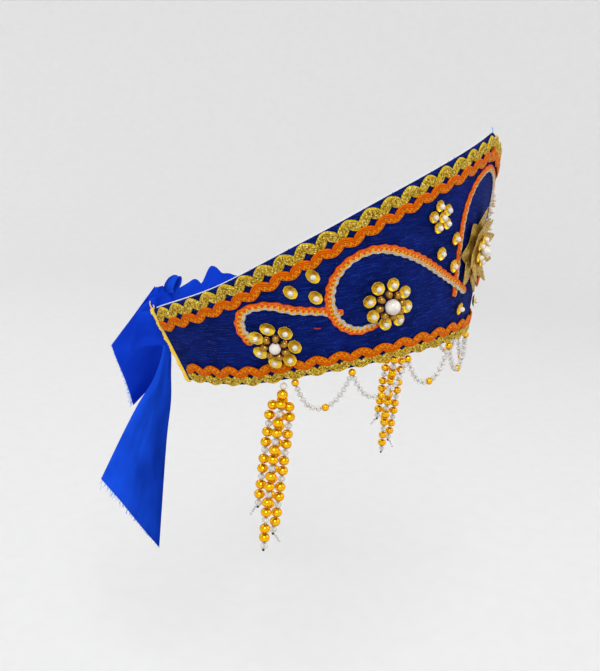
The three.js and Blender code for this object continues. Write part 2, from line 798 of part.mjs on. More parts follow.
function netRing(depth, top, taper) {
  const wave = Math.cos((2 * Math.PI * depth) / NET_PERIOD);
  const ring = [];
  for (let i = 0; i < NET_CORNERS; i++) {
    const angle = (2 * Math.PI * i) / NET_CORNERS;
    const lobes = Math.cos(NET_COLUMNS * angle);
    const odd = Math.cos((NET_COLUMNS * angle) / 2) * wave;
    const middle = (NET_LOBE + NET_WAIST) / 2;
    const radius = (middle + ((NET_LOBE - NET_WAIST) / 2) * lobes - NET_STAGGER * odd) * taper;
    ring.push(new THREE.Vector3(radius * Math.cos(angle), radius * Math.sin(angle), top - depth));
  }
  return ring;
}

// A level ring with the same corners as the net, for the beads over it
function levelRing(radius, z) {
  const ring = netRing(0, z, 1);
  return ring.map((corner) => corner.setZ(0).setLength(radius).setZ(z));
}

function pendant(hand, side) {
  const whiteFoot = -GAP - 2 * PENDANT_WHITE;
  const goldFoot = whiteFoot - 2 * PENDANT_GOLD;
  const rings = [
    levelRing(PENDANT_WHITE * BEAD_NECK, -GAP),
    levelRing(PENDANT_WHITE, -GAP - PENDANT_WHITE),
    levelRing(PENDANT_WHITE * BEAD_NECK, whiteFoot),
    levelRing(PENDANT_GOLD, whiteFoot - PENDANT_GOLD),
    levelRing(PENDANT_GOLD * BEAD_NECK, goldFoot + GAP),
  ];
  for (let i = 0; i <= NET_RINGS; i++) {
    rings.push(netRing((NET_LENGTH * i) / NET_RINGS, goldFoot, i === 0 ? NET_THROAT : 1));
  }
  const pieces = [loft(rings)];
  const foot = goldFoot - NET_LENGTH;
  for (const { fromX, fromY, down, toX, toY } of PENDANT_ENDS) {
    const start = new THREE.Vector3(fromX, fromY, foot + PENDANT_WHITE);
    const finish = new THREE.Vector3(toX, toY, foot - down);
    const axis = finish.clone().sub(start).normalize();
    const ring = (place, radius) => circleOf(place, axis, radius, STRING_SIDES);
    const beyond = (distance) => finish.clone().addScaledVector(axis, distance);
    const sections = [
      ring(start, SWAG_STRING / 2),
      ring(beyond(-PENDANT_GOLD), SWAG_STRING / 2),
      ring(finish, PENDANT_GOLD),
      ring(beyond(PENDANT_GOLD), PENDANT_GOLD * BEAD_NECK),
    ];
    pieces.push(loft(sections));
  }
  const geometry = fused(pieces);
  geometry.rotateX(radians(PENDANT_TILT));
  const mesh = addPiece("pendant_" + hand, geometry, MATERIALS.beads);
  mesh.position.copy(underRim(side * PENDANT_ALONG, PENDANT_DROP));
}

for (const { hand, side } of HANDS) pendant(hand, side);

// Satin ribbon: two ties sewn inside the band, a knot behind the head, a loop and two cut ends

// Ribbon through rows of edges, with a fold down its middle
function ribbon(rows, steps) {
  const edge = (x, y, z) =>
    new THREE.CatmullRomCurve3(rows.map((row) => new THREE.Vector3(row[x], row[y], row[z])));
  const first = edge("ax", "ay", "az").getPoints(steps);
  const second = edge("bx", "by", "bz").getPoints(steps);
  const bulges = new THREE.CatmullRomCurve3(rows.map(({ bulge }, i) => new THREE.Vector3(i, bulge, 0)));
  const face = [];
  const back = [];
  for (let i = 0; i <= steps; i++) {
    const before = Math.max(i - 1, 0);
    const after = Math.min(i + 1, steps);
    const along = first[after].clone().add(second[after]).sub(first[before]).sub(second[before]);
    const across = second[i].clone().sub(first[i]);
    const out = along.cross(across).normalize();
    const middle = first[i].clone().lerp(second[i], 0.5);
    middle.addScaledVector(out, bulges.getPoint(i / steps).y);
    const row = [first[i], middle, second[i]];
    face.push(row.map((p) => p.clone().addScaledVector(out, RIBBON_WALL / 2)));
    back.push(row.map((p) => p.clone().addScaledVector(out, -RIBBON_WALL / 2)));
  }
  return shell(face, back);
}

function tie(hand, side) {
  const inside = liningBack - GAP - RIBBON_WALL / 2;
  const sewn = TIE_SEWN.map((place) => {
    const a = side * place;
    const middle = wallHeight(a) / 2;
    const low = wallPoint(a, middle - TIE_WIDE / 2, inside);
    const high = wallPoint(a, middle + TIE_WIDE / 2, inside);
    return { ax: high.x, ay: high.y, az: high.z, bx: low.x, by: low.y, bz: low.z, bulge: 0 };
  });
  const behind = TIE_ROUTES[hand].map(({ x, y, z, high }) => ({
    ax: x,
    ay: y,
    az: z + high / 2,
    bx: x,
    by: y,
    bz: z - high / 2,
    bulge: TIE_BULGE,
  }));
  addPiece("ribbon_tie_" + hand, ribbon([...sewn, ...behind], 16), MATERIALS.satin);
}

for (const { hand, side } of HANDS) tie(hand, side);

const knot = new THREE.SphereGeometry(1, 10, 6).scale(KNOT.wide, KNOT.deep, KNOT.high);
knot.translate(KNOT.x, KNOT.y, KNOT.z);
addPiece("ribbon_knot", knot, MATERIALS.satin);
addPiece("ribbon_loop", ribbon(UPRIGHT_LOOP, 10), MATERIALS.satin);
addPiece("ribbon_tail_short", ribbon(SHORT_TAIL, 8), MATERIALS.satin);
addPiece("ribbon_tail_long", ribbon(LONG_TAIL, 12), MATERIALS.satin);

export default kokoshnik;
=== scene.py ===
# A kokoshnik: a stiff band of dark blue brocade that rises to a point over the brow, with ric-rac
# braid, scrolls, sequins and pearls, swags of beads, netted pendants and a satin ribbon.
#
# +Z up as worn, the face towards -Y, the wearer's left towards +X. The origin is the middle of the
# head opening at the height of the brow. The tables are in millimetres, and the meshes in metres.

import math

import bpy
import numpy as np
from mathutils import Matrix, Vector


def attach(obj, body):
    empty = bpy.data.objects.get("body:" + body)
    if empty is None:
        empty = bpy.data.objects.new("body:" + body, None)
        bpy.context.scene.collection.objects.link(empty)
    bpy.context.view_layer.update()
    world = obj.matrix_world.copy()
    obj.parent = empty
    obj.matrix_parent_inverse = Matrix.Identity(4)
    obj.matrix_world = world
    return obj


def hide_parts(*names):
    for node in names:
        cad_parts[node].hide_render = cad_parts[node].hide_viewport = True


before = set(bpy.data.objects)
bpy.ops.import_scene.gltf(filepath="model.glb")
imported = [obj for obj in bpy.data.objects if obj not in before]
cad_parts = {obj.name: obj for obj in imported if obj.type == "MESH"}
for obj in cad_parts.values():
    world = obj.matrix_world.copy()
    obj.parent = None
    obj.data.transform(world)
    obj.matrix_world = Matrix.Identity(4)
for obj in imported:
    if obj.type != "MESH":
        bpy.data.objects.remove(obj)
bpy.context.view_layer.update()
MM = 0.001
RANDOM = np.random.default_rng(11)

# Band
RIM_HALF = 149.6
BROW_Y = -88
BAND_WALL = 1.6
LINING_WALL = 0.9
# Shares of the way from the brow to an end, and how far the layer stands over the wall there
BAND_RISE = ([0, 1], [0, 0])
LINING_RISE = ([0, 0.45, 0.85, 1], [-0.6, -0.2, 0.2, 0.3])
# Columns, and levels of the face
BAND_GRID = (561, 45)
LINING_GRID = (281, 9)
BACK_LEVELS = 5
EDGE_STEPS = 7
GAP = 0.3  # between pieces that touch
# heading, height of the rim, slant height of the wall, lean and sweep, from the brow to a back end
STATIONS = [
    (0, 13.5, 97.4, 2.3, 0),
    (26.5, 11.8, 89.8, 4.3, -1.5),
    (45.2, 6.6, 80.0, 9, 0.9),
    (62.8, 0, 63.8, 11.5, 5.1),
    (88.2, -8.3, 46.6, 14, 10.6),
    (102.8, -13, 33.8, 16.3, 16.6),
]
HEADING, RISE, WALL, LEAN, SWEEP = range(5)
WALK = 480  # steps from the brow to an end
HANDS = (("right", -1), ("left", 1))

# Creases over the ends of the band
CREASES_START = 100  # along the rim
CREASES_GROW = 30
CREASE_DEEP = 0.34
FOLD_UP = 12
FOLD_DEEP = 0.28

# Ric-rac: edge, inset, width, swing, waves, phase in turns, lift, colour
RICRACS = {
    "ricrac_top_gold": ("top", 3.8, 4.2, 1.75, 40, 0, 0.3, "gold"),
    "ricrac_top_orange": ("top", 9.15, 3.8, 1.3, 40, 0.5, 0.7, "orange"),
    "ricrac_rim_gold": ("rim", 2.6, 3.6, 1.35, 30, 0, 0.3, "gold"),
    "ricrac_rim_orange": ("rim", 6.9, 3.6, 1.3, 30, 0.5, 0.7, "orange"),
}
RICRAC_STEPS = 20  # to a wave
RICRAC_THICK = 0.85
RICRAC_THREADS = 5
RICRAC_ROW_SHIFT = 0.8  # steps are closer together where the lobes turn
LOBE_ROUND = 1.5  # 1 for straight sides, 2 for half an ellipse
TRIM_END = 1.4
RIB_DEEP = 0.28  # of the thickness of a braid

# Scrolls: along the rim from the middle of the brow, and up the wall
LARGE_SCROLL = [
    (60, 20), (69, 18.6), (77, 24), (81, 34), (80, 45),
    (74, 53.2), (64, 55.6), (50, 49.6), (31, 37), (20.6, 30.7), (9.8, 24.4),
]
SMALL_SCROLL = [
    (110.4, 20), (113.4, 28.5), (111, 36), (103, 37.4), (94, 33.5), (85.6, 31.2), (75.6, 28.2),
]
ONION = [
    (17.4, 23), (18.6, 31), (19.6, 40), (20.8, 52), (20.8, 62), (18.4, 70.6), (12, 77.6), (0, 81.4),
]
SCROLL_WIDTH = 4.0
ONION_WIDTH = 3.4
SCROLL_THICK = 0.95
SCROLL_WAVE = 4.3
SCROLL_SWING = 0.22
SCROLL_STEP = 0.36
SCROLL_ROUND = 1.6  # length of the rounding at each end
SCROLL_THREADS = 5
SCROLL_RAMP = 9  # where one braid crosses another it rises or sinks over this length
# Lift of a scroll, and at its last turn
LARGE_LIFTS = (GAP, 1.3)
SMALL_LIFTS = (GAP, -GAP)

# Cords over the ends of the band
CORD_STRAND = 0.78
CORD_LAY = 0.5
CORD_TURNS = 12
CORD_OUT = -0.3
CORD_ROWS = 60
CORD_FRAY = 0.28
CORD_FRAYS = [(1, 3.4), (-1.4, 2.2)]  # bend and reach of each loose thread

# Sequins
CUP_RADIUS = 3
CUP_PROFILE = [  # shares of the radius out from the middle, and heights in millimetres
    (0.02, 0.12), (0.35, 0.12), (0.62, 0.3), (0.86, 0.72), (0.97, 0.98), (1.0, 1.0),
    (1.0, 0.9), (0.88, 0.6), (0.64, 0.15), (0.35, 0.0), (0.02, 0.0),
]
CUP_SIDES = 24
CUP_SKEW = 0.1
LONE_SEQUINS = [
    (94.8, 42.6), (87.5, 48.4), (86.4, 38.4), (34.1, 46.6), (26.1, 52), (24, 38.9), (11.7, 16.1),
]
# along, up, cups, their radius and circle, first angle, pearl, bronze beads, lift
ROSETTES = {
    "rosette_back": (101, 18.8, 7, 3, 8.2, 20, 2.65, 1.95, 1.6),
    "rosette_side": (58, 29.8, 8, 3, 9.2, 2, 3.5, 1.95, 1.9),
    "rosette_upper": (38.4, 64.2, 5, 2.6, 5, -10, 0, 0, 0.3),
}
SEQUIN_PEARL = 1.3
PEARL_STANDS = 1.05  # height of a pearl over the bottom of its cup
PEARL_SKEW = 0.25
STITCH_RADIUS = 0.34
ROSETTE_PLATE = 0.9  # from the bottom of the cups up to the beads in their middle

# Ornament over the brow: leaves, reach, half width, base, lift and turn of each ring
MEDALLION_UP = 43
LEAF_RINGS = [(8, 21, 5.3, 1.2, 1.4, 0), (8, 16, 4.6, 2.0, 3.0, 22.5)]
LEAF_WALL = 0.35
MEDALLION_CUPS = (6, 2.6, 5.4, 30, 2.5)  # how many, radius, circle, first angle and lift
MEDALLION_PEARL = (2.5, 5.0)  # radius and lift

# Beads along the rim
SWAG_ENDS = [-94.4, -69, -41.4, -13.8, 13.8, 41.4, 69, 94.4]
SWAG_SAG = 14.5
SWAG_SQUARE = 2.4
SWAG_GOLD = 1.7
SWAG_CLEAR = 1.35
SWAG_SLACK = 0.12
SWAG_THREAD = 0.14
RIM_BEAD_DROP = 2.1
BEAD_THREAD = 0.16

# Pendants
PENDANT_ALONG = 99.4
PENDANT_DROP = 0.8
PENDANT_TILT = 3.6
PENDANT_WHITE = 1.75
PENDANT_GOLD = 2.4
PENDANT_TOP = 2.5
PENDANT_THREAD = 0.18
NET_RADIUS = 4.6
NET_TURN = 20
NET_GOLD = 2.52
NET_PERIOD = 13.3
NET_FIRST = 4.15  # depth of the first white bead in the net
NET_ROWS = 9
NET_GOLD_GAP = 5.0
NET_MOUTH = 0.68  # of the radius, at the top of the net
NET_SWELLS = 16
NET_TIED = 52  # the strings hang apart below this depth
NET_OPENS = 14
NET_STRAY = 0.12
LOOSE_BEADS = 4
LOOSE_RADIUS = 0.6
KNOT_RADIUS = 0.65
# Depth of the last bead of each string of the net, and how far its end has swung out
NET_ENDS = [(66, (1.5, -0.5)), (61, (-2.2, 1.4)), (80, (0.6, -0.6)), (75, (0.4, 0.8))]
LONGEST_STRING = 80

# Ribbon
KNOT = (0, 89, -1)
KNOT_SIZE = (9.4, 7.2, 11)
RIBBON_WIDE = 42
RIBBON_WALL = 0.35
RIBBON_GRID = (100, 49)
ROLL_DEEP = 1.5
# Places where each tie is sewn inside the band, the share of the wall's height and how wide it is
TIE_SEWN = {
    "right": [(0.9, 0.6, 24), (0.95, 0.62, 22), (1, 0.66, 19.5)],
    "left": [(0.9, 0.5, 29), (0.95, 0.5, 29), (1, 0.5, 29)],
}
# Each tie behind the band: along, back, and the heights of its upper and lower border
TIES = {
    "right": [
        (-75, 46, 16.5, -2), (-67, 58, 9.5, -7.5), (-54, 69, 3.5, -12),
        (-40, 77, 2.8, -12), (-25, 83, 4.5, -10.5), (-9.8, 88, 5.4, -7.4), (-5, 89.5, 4.4, -6.6),
    ],
    "left": [
        (75, 46, 18, -12), (67, 58, 16.5, -13), (60, 64.5, 13, -13.5), (53, 69.5, 11.5, -14),
        (47.5, 73, 13.4, -14), (42.5, 76, 14.2, -14.5), (36.3, 78.6, 18.4, -15), (30.5, 81, 8.6, -14.5),
        (25, 83, 11.6, -14), (19.5, 85, 9.2, -12), (9.8, 88, 5.5, -7.5), (5, 89.5, 4.5, -6.6),
    ],
}
CRUMPLES = {"right": 0.15, "left": 0.9}
# The two borders of the ribbon at each fold
SHORT_TAIL = [
    (5, 97.1, 8.1, 12, 97.2, -18),
    (-3.9, 98, 0.8, 20, 97.2, -31.5),
    (-13.9, 99.5, -8.5, 17.5, 97, -46),
    (-27.7, 102, -21.4, -9.5, 99.4, -61.5),
]
SHORT_FLAT = (0.042, 0.040)
LONG_TAIL = [
    (-2, 89.8, -12.6, 4, 88, -12.6),
    (3, 88.8, -26.5, 8.7, 86.6, -28.5),
    (-2.6, 90, -43.5, 9.2, 86.2, -45),
    (-15, 92, -57.5, 9.6, 86, -62),
    (-23.3, 96, -74, 6.3, 86, -88),
    (-34.9, 102, -100, -0.2, 84, -153.4),
]
LONG_FLAT = (0.042, 0.095)
UPRIGHT_LOOP = [
    (-1, 80.5, 7.6, -1, 86.5, 8.6),
    (-2, 79, 12, -2, 85.4, 12.4),
    (1, 78.6, 16.4, 1, 84.6, 16),
    (5, 79, 16, 5, 84.6, 15.6),
    (6.4, 80, 11.8, 6.4, 85.4, 12),
    (4.6, 81.4, 7, 4.6, 86.4, 8),
]
FRAY_THREADS = 90
FRAY_RADIUS = 0.11

# Stray threads
STRAY_THREADS = 70
STRAY_RADIUS = 0.06
POINT_THREAD = 0.2
RED_FLECK = [(86.7, 23.5), (85.4, 23.0), (84.1, 22.9)]  # along the rim and up
RED_RADIUS = 0.3

# Camera: azimuth from -X, elevation and roll in degrees, distance and shift in millimetres
VIEW_TURN = 25.67
VIEW_RISE = 14.81
VIEW_ROLL = 4.31
VIEW_DISTANCE = 480.1
VIEW_SHIFT = (0.7, -2.6)
LENS = 48.29
SENSOR = 36

# Studio, in metres: a floor, the curve round it and the wall above that
FLOOR_RADIUS = 1.6
FLOOR_CURVE = 0.8
FLOOR_DOWN = 0.3
STUDIO_HIGH = 2.6
STUDIO_SIDES = 96
# Place, size and power of each lamp
LAMPS = {
    "key": ((-1.35, -0.7, 1.5), 1.0, 17),
    "fill": ((0.9, -1.5, 1.0), 1.4, 5),
    "back": ((0.3, 1.6, 1.6), 1.2, 8),
}
WORLD_STRENGTH = 0.65


# The wall of the band

def catmull(values, place):
    """Smooth curve through values, at places counted in steps from the second to the last but one."""
    values = np.asarray(values, float)
    last = len(values) - 3
    place = np.clip(place, 0, last)
    i = np.minimum(place.astype(int), last - 1)
    f = (place - i).reshape((-1,) + (1,) * (values.ndim - 1))
    p0, p1, p2, p3 = (values[i + k] for k in range(4))
    return 0.5 * (
        2 * p1
        + (p2 - p0) * f
        + (2 * p0 - 5 * p1 + 4 * p2 - p3) * f**2
        + (3 * p1 - p0 - 3 * p2 + p3) * f**3
    )


def run_along(points):
    """Distance from the first point to each of them along the line."""
    return np.concatenate([[0], np.cumsum(np.linalg.norm(np.diff(points, axis=0), axis=1))])


def sampled(where, places, values):
    """Rows of values between the places that they are given for."""
    return np.stack([np.interp(where, places, column) for column in values.T], -1)


def with_ends(rows):
    """The rows with one more before them and one more after, straight on."""
    rows = np.asarray(rows, float)
    return np.concatenate([[2 * rows[0] - rows[1]], rows, [2 * rows[-1] - rows[-2]]])


def station(column, u):
    """One column at shares u of the way round. The wall comes to a point at the brow."""
    rows = [row[column] for row in STATIONS]
    before = -rows[1] if column in (HEADING, SWEEP) else rows[1]
    if column == WALL:
        before = 2 * rows[0] - rows[1]
    return catmull([before, *rows, 2 * rows[-1] - rows[-2]], u * (len(rows) - 1))


def walk_the_rim():
    """Rim and top edge at even steps from the wearer's right end to the left end."""
    u = np.linspace(0, 1, WALK + 1)
    step = RIM_HALF / WALK
    middle = np.radians(station(HEADING, u[1:] - 0.5 / WALK))
    x = np.concatenate([[0], np.cumsum(np.cos(middle) * step)])
    y = BROW_Y + np.concatenate([[0], np.cumsum(np.sin(middle) * step)])
    heading = np.radians(station(HEADING, u))
    lean = np.radians(station(LEAN, u))
    wall = station(WALL, u)
    sweep = station(SWEEP, u)
    bottom = np.stack([x, y, station(RISE, u)], 1)
    outward = wall * np.sin(lean)
    top = bottom + np.stack([
        outward * np.sin(heading) + sweep * np.cos(heading),
        -outward * np.cos(heading) + sweep * np.sin(heading),
        wall * np.cos(lean),
    ], 1)
    return [np.concatenate([edge[:0:-1] * [-1, 1, 1], edge]) for edge in (bottom, top)]


BOTTOM, TOP = walk_the_rim()
PLACES = np.linspace(-1, 1, 2 * WALK + 1)


def ruling(a):
    """Rim and top at places from -1, the wearer's right end, to 1, the left end."""
    return sampled(a, PLACES, BOTTOM), sampled(a, PLACES, TOP)


def unit(v):
    return v / np.linalg.norm(v, axis=-1, keepdims=True)


def wall_height(a):
    bottom, top = ruling(a)
    return np.linalg.norm(top - bottom, axis=-1)


def wall_frame(a, up):
    """Point on the wall with its directions: along it, up it and straight out of it."""
    a, up = np.broadcast_arrays(np.asarray(a, float), np.asarray(up, float))
    small = 2 / WALK
    bottom, top = ruling(a)
    fraction = (up / np.linalg.norm(top - bottom, axis=-1))[..., None]
    near, far = np.maximum(a - small, -1), np.minimum(a + small, 1)
    low, high = ruling(near), ruling(far)
    step = (high[0] - low[0]) * (1 - fraction) + (high[1] - low[1]) * fraction
    step = step / (far - near)[..., None]
    rise = unit(top - bottom)
    out = unit(np.cross(step, rise))
    return bottom + (top - bottom) * fraction, step, rise, out


def on_wall(a, up, out=0):
    point, _, _, normal = wall_frame(a, up)
    return point + normal * np.asarray(out)[..., None]


def wall_axes(a, up):
    """Level, rising and outward directions at a place on the wall."""
    _, _, rise, out = wall_frame(a, up)
    return unit(np.cross(rise, out)), rise, out


def bent_on_wall(corners, a, up, lift):
    """Corners of a flat shape, facing +Z, laid round a place on the wall."""
    _, step, rise, out = wall_frame(a, up)
    level = unit(np.cross(rise, out))
    move = corners[:, 0] / step.dot(level)
    return on_wall(a + move, up + corners[:, 1] - move * step.dot(rise), lift + corners[:, 2])


# Meshes

class Piece:
    """Corners in millimetres, faces, surface coordinates and materials of one object."""

    def __init__(self):
        self.corners, self.faces, self.uv, self.materials, self.numbers = [], [], [], [], []
        self.count = 0

    def add(self, corners, faces, material, uv=None):
        corners = np.asarray(corners, float).reshape(-1, 3)
        self.corners.append(corners)
        self.faces += [[i + self.count for i in face] for face in faces]
        self.uv.append(np.zeros((len(corners), 2)) if uv is None else np.reshape(uv, (-1, 2)))
        if material not in self.materials:
            self.materials.append(material)
        self.numbers += [self.materials.index(material)] * len(faces)
        self.count += len(corners)

    def make(self, name, slot, *nodes):
        mesh = bpy.data.meshes.new(name)
        mesh.from_pydata((np.concatenate(self.corners) * MM).tolist(), [], self.faces)
        for material in self.materials:
            mesh.materials.append(material)
        mesh.polygons.foreach_set("material_index", self.numbers)
        mesh.polygons.foreach_set("use_smooth", [True] * len(self.faces))
        corner = np.empty(len(mesh.loops), int)
        mesh.loops.foreach_get("vertex_index", corner)
        layer = mesh.uv_layers.new(name="surface")
        layer.data.foreach_set("uv", np.concatenate(self.uv)[corner].astype(np.float32).ravel())
        mesh.validate()
        made = bpy.data.objects.new(name, mesh)
        bpy.context.scene.collection.objects.link(made)
        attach(made, "root")
        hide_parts(*nodes)
        return made


def turns(sides):
    """Angles at even steps once round."""
    return np.arange(sides) * 2 * math.pi / sides


def grid_faces(rows, columns, closed_rows=False, closed_columns=False):
    i, j = np.meshgrid(
        np.arange(rows if closed_rows else rows - 1),
        np.arange(columns if closed_columns else columns - 1),
        indexing="ij",
    )
    i, j = i.ravel(), j.ravel()
    up, on = (i + 1) % rows, (j + 1) % columns
    return np.stack([i * columns + j, up * columns + j, up * columns + on, i * columns + on], 1).tolist()


def surface_grid(piece, points, uv, material, closed=True):
    """Adds a grid of points, closed round its section and at both ends unless it is a sheet.

    uv gives the surface coordinates along and across.
    """
    rows, columns = points.shape[:2]
    faces = grid_faces(rows, columns, closed_columns=closed)
    if closed:
        faces.append(list(range(columns)))
        faces.append(list(range((rows - 1) * columns, rows * columns))[::-1])
    piece.add(points, faces, material, np.stack(np.broadcast_arrays(*uv), -1))


def ruled(first, second, out, share, height):
    """Grid of points at shares of the way from one line to another, raised along out."""
    share, height = np.broadcast_arrays(share, height)
    share, height = share[..., None], height[..., None]
    return first[:, None] * (1 - share) + second[:, None] * share + out[:, None] * height


# Sides and rings of a bead
FINEST, FINE, ROUND, SMALL, TINY, DOT = (28, 15), (24, 13), (18, 9), (14, 7), (10, 6), (8, 5)


def bead(radius, hole, stretch, sides, rings):
    """Round bead with its hole along Z: corners and faces."""
    start = math.asin(min(hole / radius, 1))
    angle = np.linspace(start, math.pi - start, rings)
    turn = turns(sides)
    across = radius * np.sin(angle)
    corners = np.stack([
        across[:, None] * np.cos(turn),
        across[:, None] * np.sin(turn),
        np.repeat((radius * stretch * np.cos(angle))[:, None], sides, 1),
    ], -1)
    return corners.reshape(-1, 3), grid_faces(rings, sides, closed_rows=True, closed_columns=True)


def axes_along(direction):
    """Three axes, the last of them along the direction."""
    z = unit(np.asarray(direction, float))
    x = unit(np.cross([0, 0, 1] if abs(z[2]) < 0.9 else [1, 0, 0], z))
    return np.stack([x, np.cross(z, x), z])


def add_bead(piece, centre, direction, radius, material, hole=0.3, stretch=1.0, detail=ROUND):
    corners, faces = bead(radius, hole, stretch, *detail)
    piece.add(corners @ axes_along(direction) + centre, faces, material)


def add_thread(piece, points, radius, material, sides=6):
    """Thin round thread through points."""
    points = np.asarray(points, float)
    along = unit(np.gradient(points, axis=0))
    side = unit(np.cross(along, [0.31, 0.27, 0.91]))
    other = np.cross(along, side)
    turn = turns(sides)
    ring = side[:, None] * np.cos(turn)[:, None] + other[:, None] * np.sin(turn)[:, None]
    uv = run_along(points)[:, None], turn / math.pi
    surface_grid(piece, points[:, None] + ring * radius, uv, material)


# Materials

def srgb(red, green, blue):
    values = np.array([red, green, blue]) / 255
    linear = np.where(values <= 0.04045, values / 12.92, ((values + 0.055) / 1.055) ** 2.4)
    return (*linear.tolist(), 1.0)


class Shader:
    """A material with short calls for the nodes in it."""

    def __init__(self, name, **sockets):
        self.material = bpy.data.materials.new(name)
        self.material.use_nodes = True
        self.tree = self.material.node_tree
        self.surface = self.tree.nodes["Principled BSDF"]
        for socket, value in sockets.items():
            self.surface.inputs[socket.replace("_", " ")].default_value = value

    def node(self, kind, inputs=None, **settings):
        made = self.tree.nodes.new("ShaderNode" + kind)
        for key, value in settings.items():
            setattr(made, key, value)
        for socket, value in (inputs or {}).items():
            self.give(made.inputs[socket], value)
        return made

    def give(self, socket, value):
        if isinstance(value, bpy.types.NodeSocket):
            self.tree.links.new(value, socket)
        else:
            socket.default_value = value

    def maths(self, operation, *values):
        return self.node("Math", dict(enumerate(values)), operation=operation).outputs[0]

    def wave(self, value, period):
        return self.maths("SINE", self.maths("MULTIPLY", value, 2 * math.pi / period))

    def uv(self):
        """The surface coordinates, one by one and as a vector."""
        flat = self.node("UVMap", uv_map="surface").outputs[0]
        split = self.node("SeparateXYZ", {0: flat})
        return split.outputs[0], split.outputs[1], flat

    def place(self):
        return self.node("TexCoord").outputs["Object"]

    def facing_up(self):
        """1 where the surface faces up, and -1 where it faces the ground."""
        return self.node("SeparateXYZ", {0: self.node("NewGeometry").outputs["Normal"]}).outputs[2]

    def noise(self, vector, scale, detail=2):
        return self.node("TexNoise", {"Vector": vector, "Scale": scale, "Detail": detail}).outputs[0]

    def streaks(self, vector, along, across, detail=2):
        """Noise with its own scale along and across the surface."""
        scaled = self.node("Mapping", {"Vector": vector, "Scale": (along, across, 1)}).outputs[0]
        return self.noise(scaled, 1, detail)

    def grains(self, scale):
        """Three random values for each grain of a metallic thread."""
        random = self.node("TexVoronoi", {"Vector": self.place(), "Scale": scale}).outputs["Color"]
        return self.node("SeparateXYZ", {0: random}).outputs

    def ramp(self, value, low, high, start=0, end=1):
        inputs = {"Value": value, "From Min": low, "From Max": high, "To Min": start, "To Max": end}
        return self.node("MapRange", inputs).outputs[0]

    def mix(self, factor, *colours):
        """Two colours mixed, each of them a socket or three sRGB numbers."""
        made = self.node("Mix", data_type="RGBA")
        self.give(made.inputs[0], factor)
        for socket, colour in zip(made.inputs[6:8], colours):
            self.give(socket, srgb(*colour) if isinstance(colour, tuple) else colour)
        return made.outputs[2]

    def blend(self, value, low, high, *colours):
        """The first colour up to a low value and the second one from a high value on."""
        return self.mix(self.ramp(value, low, high), *colours)

    def colour(self, value):
        self.give(self.surface.inputs["Base Color"], value)

    def roughness(self, value):
        self.give(self.surface.inputs["Roughness"], value)

    def bump(self, height, depth_mm, strength=1.0):
        inputs = {"Height": height, "Distance": depth_mm * MM, "Strength": strength}
        if self.surface.inputs["Normal"].is_linked:
            inputs["Normal"] = self.surface.inputs["Normal"].links[0].from_socket
        self.give(self.surface.inputs["Normal"], self.node("Bump", inputs).outputs[0])


def brocade():
    shader = Shader("brocade", Roughness=0.8, Specular_IOR_Level=0.1, Specular_Tint=srgb(70, 110, 255))
    u, v, flat = shader.uv()
    weave = shader.maths("MULTIPLY", shader.wave(v, 0.9), shader.wave(u, 0.62))
    cloudy = shader.noise(flat, 0.09, 3)
    streaks = shader.streaks(flat, 0.16, 1.9, 3)
    slubs = shader.streaks(flat, 2.4, 0.3, 3)
    dark = shader.blend(cloudy, 0.3, 0.7, (8, 20, 76), (13, 31, 110))
    streaked = shader.mix(shader.ramp(streaks, 0.5, 0.7, 0, 0.75), dark, (30, 58, 156))
    slubbed = shader.mix(shader.ramp(slubs, 0.52, 0.75, 0, 0.55), streaked, (3, 9, 58))
    specks = shader.streaks(flat, 1.1, 2.6, 1)
    shader.colour(shader.mix(shader.ramp(specks, 0.7, 0.78, 0, 0.5), slubbed, (130, 148, 210)))
    shader.bump(weave, 0.07)
    shader.bump(streaks, 0.5)
    creases = shader.streaks(flat, 0.07, 0.35, 4)
    shader.bump(creases, 0.9, 0.6)
    return shader.material


def felt():
    shader = Shader("lining", Roughness=0.9)
    fibres = shader.noise(shader.place(), 2500, 4)
    shader.colour(shader.blend(fibres, 0.3, 0.7, (226, 229, 236), (246, 247, 250)))
    shader.bump(fibres, 0.12)
    return shader.material


def grooves(shader, v, count, depth):
    """1 on the ribs that run along a braid and 0 in the grooves between them."""
    turn = shader.maths("MULTIPLY", shader.maths("ADD", v, 1), count * math.pi / 2)
    rib = shader.maths("ABSOLUTE", shader.maths("SINE", turn))
    shader.bump(rib, depth)
    return rib


def zigzag(shader, u, v, period, low, high, thick):
    """1 on a thin thread that runs to and fro between two lines along a braid."""
    path = shader.maths("PINGPONG", u, period / 2)
    middle = shader.ramp(path, 0, period / 2, low, high)
    off = shader.maths("ABSOLUTE", shader.maths("SUBTRACT", v, middle))
    return shader.ramp(off, thick, thick * 1.6, 1, 0)


def shaded(shader, colour, depth):
    """The colour with painted shade and painted dark reflections: darker by a share of depth where the
    surface faces the ground.
    """
    low = shader.mix(depth, colour, (84, 54, 10))
    return shader.blend(shader.facing_up(), -0.9, -0.1, low, colour)


def gold_braid():
    shader = Shader(
        "gold_braid", Roughness=0.5, Metallic=0.35, Specular_IOR_Level=0.3, Specular_Tint=srgb(255, 210, 90)
    )
    u, v, _ = shader.uv()
    grains = shader.grains(1700)
    loops = shader.maths("MULTIPLY", shader.wave(u, 1.1), shader.wave(v, 2 / 3))
    deep = shader.blend(grains[0], 0.1, 0.7, (130, 96, 18), (220, 180, 56))
    edge = shader.ramp(shader.maths("ABSOLUTE", v), 0.62, 0.8)
    bright = shader.mix(edge, deep, (232, 196, 30))
    # Painted glints: the brightest grains of the metallic yarn are a pale yellow.
    shader.colour(shader.mix(shader.ramp(grains[1], 0.8, 0.9, 0, 0.9), bright, (255, 238, 130)))
    shader.roughness(shader.ramp(grains[2], 0, 1, 0.6, 0.25))
    shader.bump(loops, 0.25)
    shader.bump(grains[0], 0.12)
    return shader.material


